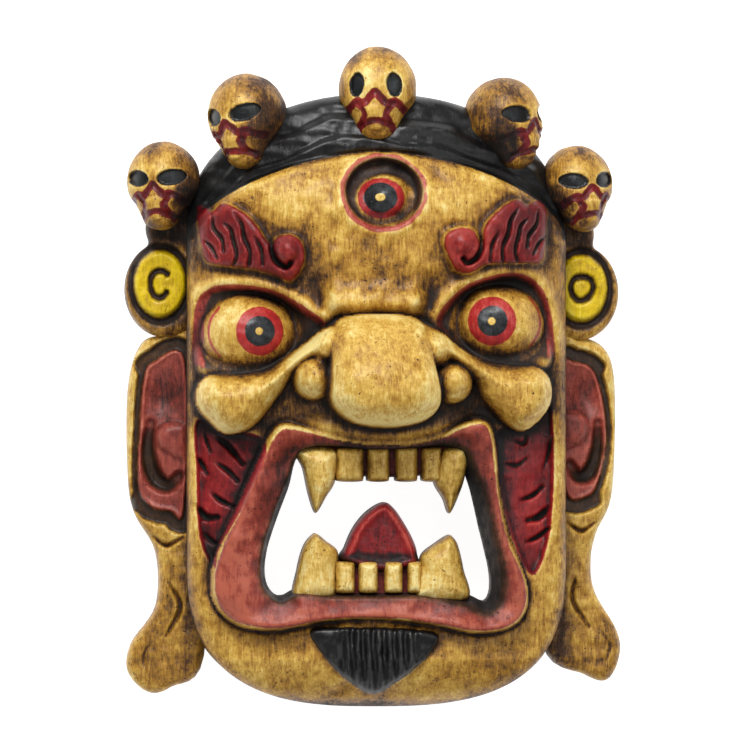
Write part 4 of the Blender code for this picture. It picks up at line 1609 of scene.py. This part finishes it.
@dataclass(frozen=True)
class EarForm:
    """A long ear with a sunken painted panel, a tragus, a deep hollow round it and a cut lobe."""

    name: str
    outline: Tuple[Pair, ...]
    panel: Tuple[Pair, ...]
    tragus: Tuple[Pair, ...]
    hollow: Gouge
    cuts: Tuple[Gouge, ...]
    side: int
    top: float = 34
    foot: float = 8.0

    def plan(self, x: Field, y: Field) -> Field:
        """Distance inwards from the ear's outline."""
        return inwards(x, y, self.outline, 40)

    @staticmethod
    def groove_width(y: Field) -> Field:
        """Width of the dark groove round the panel, wider over and under it."""
        return 3.3 + 4.0 * soft_step(0, 8, y) + 4.5 * soft_step(-68, -78, y)

    def height(self, x: Field, y: Field) -> Field:
        """Height of the front of the ear.

        Args:
            x: places across the face.
            y: places along the face.

        Returns:
            the height at each place.
        """
        inset = self.plan(x, y)
        z = table(inset, self.top, 7, 2) + 4 - 8 * (np.abs(x) - 108) / 42
        inner = inwards(x, y, self.panel)
        wide = self.groove_width(y)
        z = z - 5.5 * soft_step(-wide - 1.5, -wide + 0.7, inner) * soft_step(1.6, -0.6, inner)
        z = z - 2.0 * soft_step(0, 4, inner)
        z = z - 6 * np.exp(-(((x - self.side * 128) / 9) ** 2) - ((y + 11) / 13) ** 2)
        z = gouged(x, y, z, (self.hollow,))
        z = mound(z, pillow(inwards(x, y, self.tragus), 7), 26, 12, 1.5)
        z = gouged(x, y, z, self.cuts)
        lobe = soft_step(-92, -104, y)
        return z + 0.35 * wander(x, y, 13, 31) + 0.5 * lobe * wander(x, y, 11, 33)

    def build(self) -> Piece:
        """Carves and dresses the ear.

        Returns:
            the finished ear.
        """
        edges = sorted((self.side * 102, self.side * 153))
        block = ReliefBlock((edges[0], -193), (edges[1], 29), 0.9, self.plan)
        builder = block.carve(self.height)
        ReliefBlock.skirt(builder, lambda a, b: self.foot, 8)
        close_below(builder)
        x, y, z = places(builder)
        inner = inwards(x, y, self.panel)
        front = np.where(z > 14, 0, -5)
        # The deeper part of the hollow round the tragus is painted dark brown: stain with painted shade.
        deep = self.hollow.taken(x, y) - 0.45 * self.hollow.depth
        deep = np.minimum(deep, -inwards(x, y, self.tragus))
        borders = {
            "pink": inner + 0.3 + front,
            "ear_hollow_shade": deep + front,
            "groove": np.minimum(inner + self.groove_width(y), 0.2 - inner) + front,
        }
        material = PaintedWood(
            self.name + "_paint",
            Palette.OCHRE,
            (
                Layer(Palette.EAR_PINK, "pink", 0.6, 1.0),
                Layer(Palette.DARK_STAIN_AND_SHADE, "groove", 0.9, 1.2),
                Layer(Palette.DARK_STAIN_AND_SHADE, "ear_hollow_shade", 3.4, 1.4),
            ),
        )
        # Darker low on the walls; painted shade where the ear meets the head, in the dip cut in the panel
        # and, on the left ear, in the upper hollow; the right lobe darker towards its end.
        darker = 0.06 + 0.3 * soft_step(20, 8, z) + 0.18 * soft_step(122, 113, np.abs(x))
        if self.side > 0:
            darker = darker + 0.16 * soft_step(-130, -160, y)
        else:
            darker = darker + 0.20 * np.exp(-(((x + 127) / 8) ** 2) - ((y + 12) / 22) ** 2)
        darker = darker + 0.14 * np.exp(-(((x - self.side * 128) / 9) ** 2) - ((y + 11) / 13) ** 2)
        return Piece(self.name, builder, material, borders, darker)


def close_below(builder: bmesh.types.BMesh) -> None:
    """Closes the open lower edge of a block with one flat face, turned outwards.

    Args:
        builder: the mesh being built.
    """
    edge = [e for e in builder.edges if e.is_boundary]
    bmesh.ops.contextual_create(builder, geom=edge)
    bmesh.ops.recalc_face_normals(builder, faces=builder.faces[:])


@dataclass(frozen=True)
class DiscForm:
    """A round ear ornament: its block, the yellow disc and the ring cut in it."""

    name: str
    block: Pair
    disc: Pair
    seat: Pair
    side: int
    open_ring: float = 0.0
    block_radii: Pair = (25, 29)
    disc_radii: Pair = (16, 20.5)
    seat_radii: Pair = (17, 17)
    ring_radius: float = 7.6
    top: float = 38
    foot: float = 10.0

    def plan(self, x: Field, y: Field) -> Field:
        """Distance inwards from the block's outline."""
        seat = oval(x, y, self.seat, self.seat_radii)
        return join_high(oval(x, y, self.block, self.block_radii), seat, 4.0)

    def ring(self, x: Field, y: Field) -> Field:
        """How far off the middle line of the hand-cut ring, which one disc leaves open to the cheek.

        Args:
            x: places across the face.
            y: places along the face.

        Returns:
            the distance at each place.
        """
        across, along = (x - self.disc[0]) / 0.84, y - self.disc[1]
        angle = np.arctan2(along, across)
        radius = self.ring_radius + 0.5 * np.sin(2 * angle + 1.1 * self.side) + 0.3 * np.sin(3 * angle + 0.6)
        opening = self.open_ring * soft_step(0.75, 0.35, np.abs(angle))
        return np.abs(np.hypot(across, along) - radius) + 4 * opening

    def height(self, x: Field, y: Field) -> Field:
        """Height of the front of the ornament.

        Args:
            x: places across the face.
            y: places along the face.

        Returns:
            the height at each place.
        """
        z = table(self.plan(x, y), self.top, 6, 2)
        inset = oval(x, y, self.disc, self.disc_radii)
        z = z - 3.5 * np.exp(-(((inset + 1.5) / 1.8) ** 2)) + 2.0 * soft_step(0, 2.5, inset)
        z = z - 4 * np.exp(-((self.ring(x, y) / 1.9) ** 2))
        return z + 0.4 * wander(x, y, 11, 41)

    def build(self) -> Piece:
        """Carves and dresses the ornament.

        Returns:
            the finished ornament.
        """
        edges = sorted((self.side * 98, self.side * 154))
        block = ReliefBlock((edges[0], 18), (edges[1], 106), 0.7, self.plan)
        builder = block.carve(self.height)
        ReliefBlock.skirt(builder, lambda a, b: self.foot, 8)
        close_below(builder)
        x, y, z = places(builder)
        front = np.where(z > 20, 0, -5)
        inset = oval(x, y, self.disc, self.disc_radii)
        borders = {
            "yellow": inset + 0.2 + front,
            "groove": np.maximum(2.1 - self.ring(x, y), 2.1 - np.abs(inset + 2.0)) + front,
        }
        material = PaintedWood(
            self.name + "_paint",
            Palette.OCHRE,
            (Layer(Palette.YELLOW, "yellow", 0.6, 1.2), Layer(Palette.SOCKET, "groove", 1.1, 1.4)),
        )
        yellow = soft_step(-0.5, 1.0, inset)
        upper = soft_step(self.block[1] + 24, self.block[1] + 31, y)
        darker = 0.26 - 0.24 * yellow + 0.35 * soft_step(24, 10, z) + 0.22 * upper
        return Piece(self.name, builder, material, borders, darker)


# The crown of skulls.


@dataclass(frozen=True)
class SkullForm:
    """One of the five skulls, looking its own way."""

    name: str
    place: Triple
    turn: float
    roll: float
    size: float
    wide_eyes: bool
    half_width: float = 23.5
    crown: float = 26
    jaw: float = 31

    def features(
        self, across: Field, up: Field, out: Field, front: Field
    ) -> Tuple[Field, Dict[str, Field]]:
        """The carved and painted face of the skull, in its own upright axes.

        Args:
            across: places across the skull.
            up: places up the skull.
            out: places out of the skull.
            front: 1 on the front, 0 on the back.

        Returns:
            the new places out of the skull, and the distance inwards from each border.
        """
        radii = (8.6, 5.2) if self.wide_eyes else (4.6, 7.4)
        eyes = np.full(across.shape, -5.0)
        for side in (-1, 1):
            middle = (side * 11.3, 2.5)
            out = out - front * 3.6 * soft_step(0, 0.4, dome(across, up, middle, radii, 8 * side))
            out = out + front * 1.4 * dome(across, up, (side * 11, -9), (6, 4))
            eyes = np.maximum(eyes, oval(across, up, middle, radii, 8 * side))
        out = out + front * 2.4 * dome(across, up, (0, -17), (9, 8))
        out = out + front * 1.8 * dome(across, up, (0, -27), (7, 5))
        cheek_line = (
            (-17, -13), (-12, -8), (-7, -8.5), (-3, -4.5), (0, -2), (3, -4.5), (7, -8.5), (12, -8), (17, -13),
        )  # fmt: skip
        sides = ((-11, -9), (-7, -13.5), (-7, -17), (-10, -22)), ((11, -9), (7, -13.5), (7, -17), (10, -22))
        frown = ((-12, -27), (-9, -22), (-4, -19.6), (0, -19), (4, -19.6), (9, -22), (12, -27))
        red = np.full(across.shape, -5.0)
        uneven = 0.5 * wander(across + 9 * self.turn, up, 9, 52)
        for path, width in ((cheek_line, 2.5), (sides[0], 2.0), (sides[1], 2.0), (frown, 2.1)):
            gap, _ = to_line(across, up, smooth_line(path, False), 8)
            red = np.maximum(red, width + uneven - gap)
            out = out - front * 1.5 * np.exp(-((gap / (0.7 * width)) ** 2))
        back = np.where(front > 0.3, 0, -5)
        return out, {"eye": np.minimum(eyes, 3) + back, "red": np.minimum(red, 3) + back}

    def build(self) -> Piece:
        """Carves and dresses the skull.

        Returns:
            the finished skull.
        """
        builder = bmesh.new()
        bmesh.ops.create_icosphere(builder, subdivisions=6, radius=1)
        way = np.array([v.co for v in builder.verts])
        x, y, z = way.T
        down = np.clip(-y, 0, 1)
        narrow = 1 - 0.24 * soft_step(0.12, 0.62, down) + 0.16 * soft_step(0.68, 1, down)
        across = self.half_width * x * narrow
        up = np.where(y > 0, self.crown, self.jaw) * y
        jaw = soft_step(0.1, 0.8, down)
        out = np.where(z > 0, 24, 26) * z * (1 - 0.30 * jaw) + 7.5 * jaw
        front = soft_step(0.0, 0.35, z)
        out, borders = self.features(across, up, out, front)
        uneven = 0.25 * wander(across + 3 * self.turn, up + out, 13, 51)
        across, up, out = across * (1 + uneven / 24), up * (1 + uneven / 26), out * (1 + uneven / 24)
        a, b = math.radians(self.turn), math.radians(self.roll)
        turned = across * math.cos(a) + out * math.sin(a)
        out = out * math.cos(a) - across * math.sin(a)
        across = turned * math.cos(b) - up * math.sin(b)
        up = up * math.cos(b) + turned * math.sin(b)
        middle = Vector(self.place)
        for vert, p, q, r in zip(builder.verts, across, up, out):
            vert.co = middle + self.size * Vector((p, q, r))
        material = PaintedWood(
            self.name + "_paint",
            Palette.OCHRE,
            (Layer(Palette.CRIMSON, "red", 0.4, 1.1), Layer(Palette.PUPIL, "eye", 0.35, 0.8)),
        )
        _, _, height = places(builder)
        inner = -np.sign(self.place[0]) if abs(self.place[0]) > 9 else 0
        # Painted shade on the underside towards the floor, on the side turned to the middle, under the jaw
        # and round the sides; also darker towards the crown and blotched at random.
        darker = 0.5 * soft_step(0.1, -0.7, (height - self.place[2]) / (25 * self.size)) - 0.02
        darker += 0.34 * soft_step(11.5, 15.5, inner * x * self.half_width) * soft_step(-1.0, 0.4, -y)
        darker += 0.20 * soft_step(0.55, 0.95, down) + 0.10 * soft_step(17, 21, np.abs(x) * self.half_width)
        darker += 0.12 * wander(23 * x + self.turn, 24 * y, 19, 55) + 0.20 * soft_step(0.35, 0.9, y)
        return Piece(self.name, builder, material, borders, darker, 0.60)


# Teeth and tongue.


@dataclass(frozen=True)
class CarvedForm:
    """A tooth, a gum or a tongue: an outline with a rounded front and its back in the wood."""

    name: str
    outline: Tuple[Pair, ...]
    foot: float
    edge: float
    rise: float
    reach: float
    paint: Palette = Palette.IVORY
    ridge: float = 0.0
    shade_below: Optional[float] = None
    step: float = 0.7

    def plan(self, x: Field, y: Field) -> Field:
        """Distance inwards from the outline."""
        return inwards(x, y, self.outline)

    def height(self, x: Field, y: Field) -> Field:
        """The rounded front, with a ridge inside its edge where it has one.

        Args:
            x: places across the face.
            y: places along the face.

        Returns:
            the height at each place.
        """
        inset = self.plan(x, y)
        z = self.edge + self.rise * pillow(inset, self.reach)
        z = z + self.ridge * np.exp(-(((inset - 3.2) / 2.4) ** 2))
        z = z - 0.9 * self.ridge * soft_step(4, 9, inset)
        return z + 0.3 * wander(x, y, 9, 61) + 0.15 * wander(x, y, 4, 62)

    def build(self) -> Piece:
        """Carves and dresses the piece.

        Returns:
            the finished piece.
        """
        xs, ys = zip(*self.outline)
        margin = 4
        block = ReliefBlock(
            (min(xs) - margin, min(ys) - margin), (max(xs) + margin, max(ys) + margin), self.step, self.plan
        )
        builder = block.carve(self.height)
        ReliefBlock.skirt(builder, lambda a, b: self.foot, 8)
        close_below(builder)
        x, y, z = places(builder)
        inset = self.plan(x, y)
        # Painted shade down the walls into the wood and along the edge, between the pieces of the mouth; on
        # the tongue also on its lower part and in its sunken middle.
        darker = 0.55 * soft_step(self.edge + 1, self.edge - 7, z) + 0.34 * soft_step(3.2, 0.2, inset)
        if self.shade_below is not None:
            darker = darker + 0.5 * soft_step(self.shade_below + 2, self.shade_below - 3, y)
            darker = darker + 0.26 * soft_step(3.5, 8, inset)
        material = PaintedWood(self.name + "_paint", self.paint)
        return Piece(self.name, builder, material, {}, darker, 0.74, 0.8)


def block_tooth(left: float, right: float, low: float, high: float) -> Tuple[Pair, ...]:
    """The outline of a front tooth.

    Args:
        left: its left side.
        right: its right side.
        low: its low end.
        high: its high end.

    Returns:
        the corners.
    """
    slim = 0.14 * (right - left)
    middle = 0.5 * (low + high)
    return (
        (left, low + 2), (left + slim, low), (right - slim, low), (right, low + 2), (right, middle),
        (right, high - 2), (right - slim, high), (left + slim, high), (left, high - 2), (left, middle),
    )  # fmt: skip


UPPER_GUM = ((-47, -40), (-45, -52), (-26, -58), (6, -60), (34, -58), (50, -52), (53, -40), (3, -38))
LOWER_GUM = (
    (-45, -134), (-45, -116), (-26, -109), (0, -108), (25, -109), (46, -116), (47, -134), (0, -138),
)  # fmt: skip
TONGUE = (
    (-23, -110), (-20.5, -102), (-15, -90), (-7, -80.5), (3, -75), (9, -78.5), (15, -87), (20.5, -97),
    (23, -105), (22, -113), (0, -117),
)  # fmt: skip
UPPER_FANG_LEFT = (
    (-50, -43), (-46, -55), (-43, -69), (-39.5, -80), (-37, -80.5), (-32, -72), (-26, -61), (-26, -43),
)  # fmt: skip
UPPER_FANG_RIGHT = (
    (54, -42), (52, -60), (47.5, -73), (43.6, -81), (41.4, -80.5), (38.8, -73), (33, -62), (36, -48),
    (40, -42),
)  # fmt: skip
LOWER_TUSK_LEFT = (
    (-51, -133), (-49.5, -115), (-45.5, -101), (-40, -94.2), (-37, -94), (-32, -98), (-25, -104),
    (-25.5, -115), (-28, -132),
)  # fmt: skip
LOWER_TUSK_RIGHT = (
    (23, -133), (24.4, -115), (26, -106), (34, -99.5), (41.5, -94.8), (44.5, -95.5), (48, -101), (51.3, -115),
    (53.6, -133),
)  # fmt: skip


@dataclass(frozen=True)
class MouthPieces:
    """The two rows of teeth, their gums and the tongue."""

    upper_teeth: Tuple[Pair, ...] = ((-26, -9.5), (-7.5, 6), (9.5, 23), (25.5, 37.5))
    upper_teeth_ends: Pair = (-62.5, -42)
    lower_teeth: Tuple[Pair, ...] = ((-26.5, -15), (-12.5, -1), (3, 14), (17, 25.5))
    lower_teeth_ends: Pair = (-129, -110.5)

    @staticmethod
    def front_teeth(row: str, sides: Sequence[Pair], ends: Pair) -> List[CarvedForm]:
        """The front teeth of one row.

        Args:
            row: the row's name.
            sides: left and right side of each tooth.
            ends: low and high end of the row.

        Returns:
            the teeth, from left to right.
        """
        return [
            CarvedForm(f"{row}_tooth_{number}", block_tooth(left, right, *ends), 66, 81, 7, 5)
            for number, (left, right) in enumerate(sides, 1)
        ]

    def forms(self) -> List[CarvedForm]:
        """Every piece in the mouth.

        Returns:
            the forms, from the gums to the fangs.
        """
        made = [
            CarvedForm("upper_gum", UPPER_GUM, 62, 74, 5, 6, Palette.GUM),
            CarvedForm("lower_gum", LOWER_GUM, 60, 72, 5, 6, Palette.GUM),
            CarvedForm("tongue", TONGUE, 58, 76, 8, 12, Palette.FLAME, 2.2, -105),
        ]
        made += self.front_teeth("upper", self.upper_teeth, self.upper_teeth_ends)
        made += self.front_teeth("lower", self.lower_teeth, self.lower_teeth_ends)
        for name, outline in (
            ("upper_fang_left", UPPER_FANG_LEFT),
            ("upper_fang_right", UPPER_FANG_RIGHT),
            ("lower_tusk_left", LOWER_TUSK_LEFT),
            ("lower_tusk_right", LOWER_TUSK_RIGHT),
        ):
            made.append(CarvedForm(name, outline, 66, 76, 13, 12))
        return made

    def build(self) -> List[Piece]:
        """Every finished piece in the mouth."""
        return [form.build() for form in self.forms()]


# The whole mask and its studio.


@dataclass(frozen=True)
class Mask:
    """The whole mask as its carved parts."""

    face: FacePieces = FacePieces()
    mouth: MouthPieces = MouthPieces()
    ears: Tuple[EarForm, ...] = (
        EarForm(
            "ear_left",
            EAR_LEFT,
            PANEL_LEFT,
            TRAGUS_LEFT,
            Gouge(((-136.5, -28), (-138, -45), (-134, -60), (-126, -65), (-119, -60)), 15, 10, 0.5),
            (
                Gouge(((-135, -96), (-127, -101.5), (-117, -96.5)), 4.4, 4.4, 0.5),
                Gouge(((-125.6, -124), (-118.6, -138.6), (-127, -156)), 4.6, 4.6, 0.5),
                Gouge(((-137, -160), (-141, -169), (-139, -178)), 2.6, 1.6, 0.3),
                Gouge(((-113, -112), (-112, -124), (-114, -136)), 3.4, 3.0, 0.3),
            ),
            -1,
        ),
        EarForm(
            "ear_right",
            EAR_RIGHT,
            PANEL_RIGHT,
            TRAGUS_RIGHT,
            Gouge(((136.5, -28), (136.5, -44), (132, -57), (125, -60), (119, -53)), 14, 10, 0.5),
            (
                Gouge(((117, -87.5), (126, -93), (134, -88.5)), 4.4, 4.4, 0.5),
                Gouge(((122.5, -121), (121, -135), (131, -151)), 4.6, 4.6, 0.5),
                Gouge(((139, -154), (144, -163), (141, -173)), 2.6, 1.6, 0.3),
                Gouge(((113, -110), (112, -122), (114, -134)), 3.4, 3.0, 0.3),
            ),
            1,
        ),
    )
    discs: Tuple[DiscForm, ...] = (
        DiscForm("disc_left", (-127, 53), (-131, 56), (-122, 90), -1, 1.0),
        DiscForm("disc_right", (124, 51), (126, 53.5), (117, 86), 1),
    )
    skulls: Tuple[SkullForm, ...] = (
        SkullForm("skull_middle", (-0.5, 172, 72), -7, 0, 1.0, False),
        SkullForm("skull_inner_left", (-79, 156, 60), -38, 9, 1.0, True),
        SkullForm("skull_inner_right", (77, 154.5, 60), 50, 3, 0.98, True),
        SkullForm("skull_outer_left", (-129.0, 117.2, 44), -20, 2, 0.94, True),
        SkullForm("skull_outer_right", (122.5, 115.6, 44), 22, 3, 0.92, True),
    )

    def build(self) -> List[bpy.types.Object]:
        """Builds every part of the mask in turn.

        Returns:
            every finished object.
        """
        made = [piece.finish() for piece in self.face.build()]
        for group in (self.ears, self.discs, self.skulls):
            made += [form.build().finish() for form in group]
        made += [piece.finish() for piece in self.mouth.build()]
        return made


@dataclass(frozen=True)
class Lamp:
    """A soft square lamp aimed at the mask."""

    name: str
    place: Triple
    size: float
    power: float

    def build(self) -> bpy.types.Object:
        """Sets up the lamp.

        Returns:
            the lamp.
        """
        data = bpy.data.lights.new(self.name, "AREA")
        data.energy = self.power
        data.size = self.size
        lamp = bpy.data.objects.new(self.name, data)
        bpy.context.scene.collection.objects.link(lamp)
        lamp.location = self.place
        aim = Vector((0, 0, 0.05)) - Vector(self.place)
        lamp.rotation_euler = aim.to_track_quat("-Z", "Y").to_euler()
        return lamp


@dataclass(frozen=True)
class Studio:
    """A pale light table, soft lamps and the camera over the lying mask."""

    lamps: Tuple[Lamp, ...] = (
        Lamp("key", (-0.3, 1.35, 1.45), 0.8, 33.0),
        Lamp("fill", (1.0, 0.2, 1.6), 1.2, 7.0),
        Lamp("low_fill", (-0.7, -1.1, 1.5), 1.2, 5.0),
    )
    distance: float = 5.0
    lean: float = 3.3
    width: float = 0.456
    target: Triple = (0.0005, 0.0012, 0.035)
    glow: float = 0.93
    sky_strength: float = 0.24

    def floor(self) -> bpy.types.Object:
        """A wide pale floor that glows a little, as a light table does.

        Returns:
            the floor.
        """
        builder = bmesh.new()
        bmesh.ops.create_grid(builder, x_segments=1, y_segments=1, size=6.0)
        mesh = bpy.data.meshes.new("floor")
        builder.to_mesh(mesh)
        builder.free()
        floor = bpy.data.objects.new("floor", mesh)
        bpy.context.scene.collection.objects.link(floor)
        floor.location.z = -0.0005
        material = bpy.data.materials.new("pale_floor")
        material.use_nodes = True
        nodes = Nodes(material)
        shader = nodes.add("ShaderNodeBsdfPrincipled")
        nodes.feed(shader, "Base Color", (0.6, 0.6, 0.6, 1.0))
        nodes.feed(shader, "Roughness", 0.9)
        nodes.feed(shader, "Specular IOR Level", 0.1)
        nodes.feed(shader, "Emission Color", (1.0, 1.0, 1.0, 1.0))
        nodes.feed(shader, "Emission Strength", self.glow)
        output = nodes.add("ShaderNodeOutputMaterial")
        nodes.feed(output, "Surface", shader.outputs["BSDF"])
        mesh.materials.append(material)
        return floor

    def sky(self) -> None:
        """An even white sky that fills the shadows."""
        world = bpy.data.worlds.new("studio")
        world.use_nodes = True
        back = next(node for node in world.node_tree.nodes if node.type == "BACKGROUND")
        back.inputs["Color"].default_value = (1.0, 1.0, 1.0, 1.0)
        back.inputs["Strength"].default_value = self.sky_strength
        bpy.context.scene.world = world

    def camera(self) -> bpy.types.Object:
        """The camera straight over the mask, a little to the left of it.

        Returns:
            the camera.
        """
        data = bpy.data.cameras.new("camera")
        data.sensor_width = 36.0
        data.lens = 36.0 * self.distance / self.width
        data.clip_end = 40.0
        camera = bpy.data.objects.new("camera", data)
        bpy.context.scene.collection.objects.link(camera)
        lean = math.radians(self.lean)
        out = Vector((-math.sin(lean), 0, math.cos(lean)))
        right = Vector((math.cos(lean), 0, math.sin(lean)))
        up = Vector((0, 1, 0))
        turn = Matrix((right, up, out)).transposed()
        camera.matrix_world = Matrix.Translation(Vector(self.target) + out * self.distance) @ turn.to_4x4()
        bpy.context.scene.camera = camera
        return camera

    def build(self) -> None:
        """Sets up the floor, the light and the camera."""
        self.floor()
        self.sky()
        for lamp in self.lamps:
            lamp.build()
        self.camera()
        bpy.context.scene.view_settings.view_transform = "Standard"


def main() -> None:
    """Builds the mask and its studio."""
    logging.basicConfig(level=logging.INFO, format="%(name)s %(message)s")
    Mask().build()
    Studio().build()


if __name__ == "__main__":
    main()
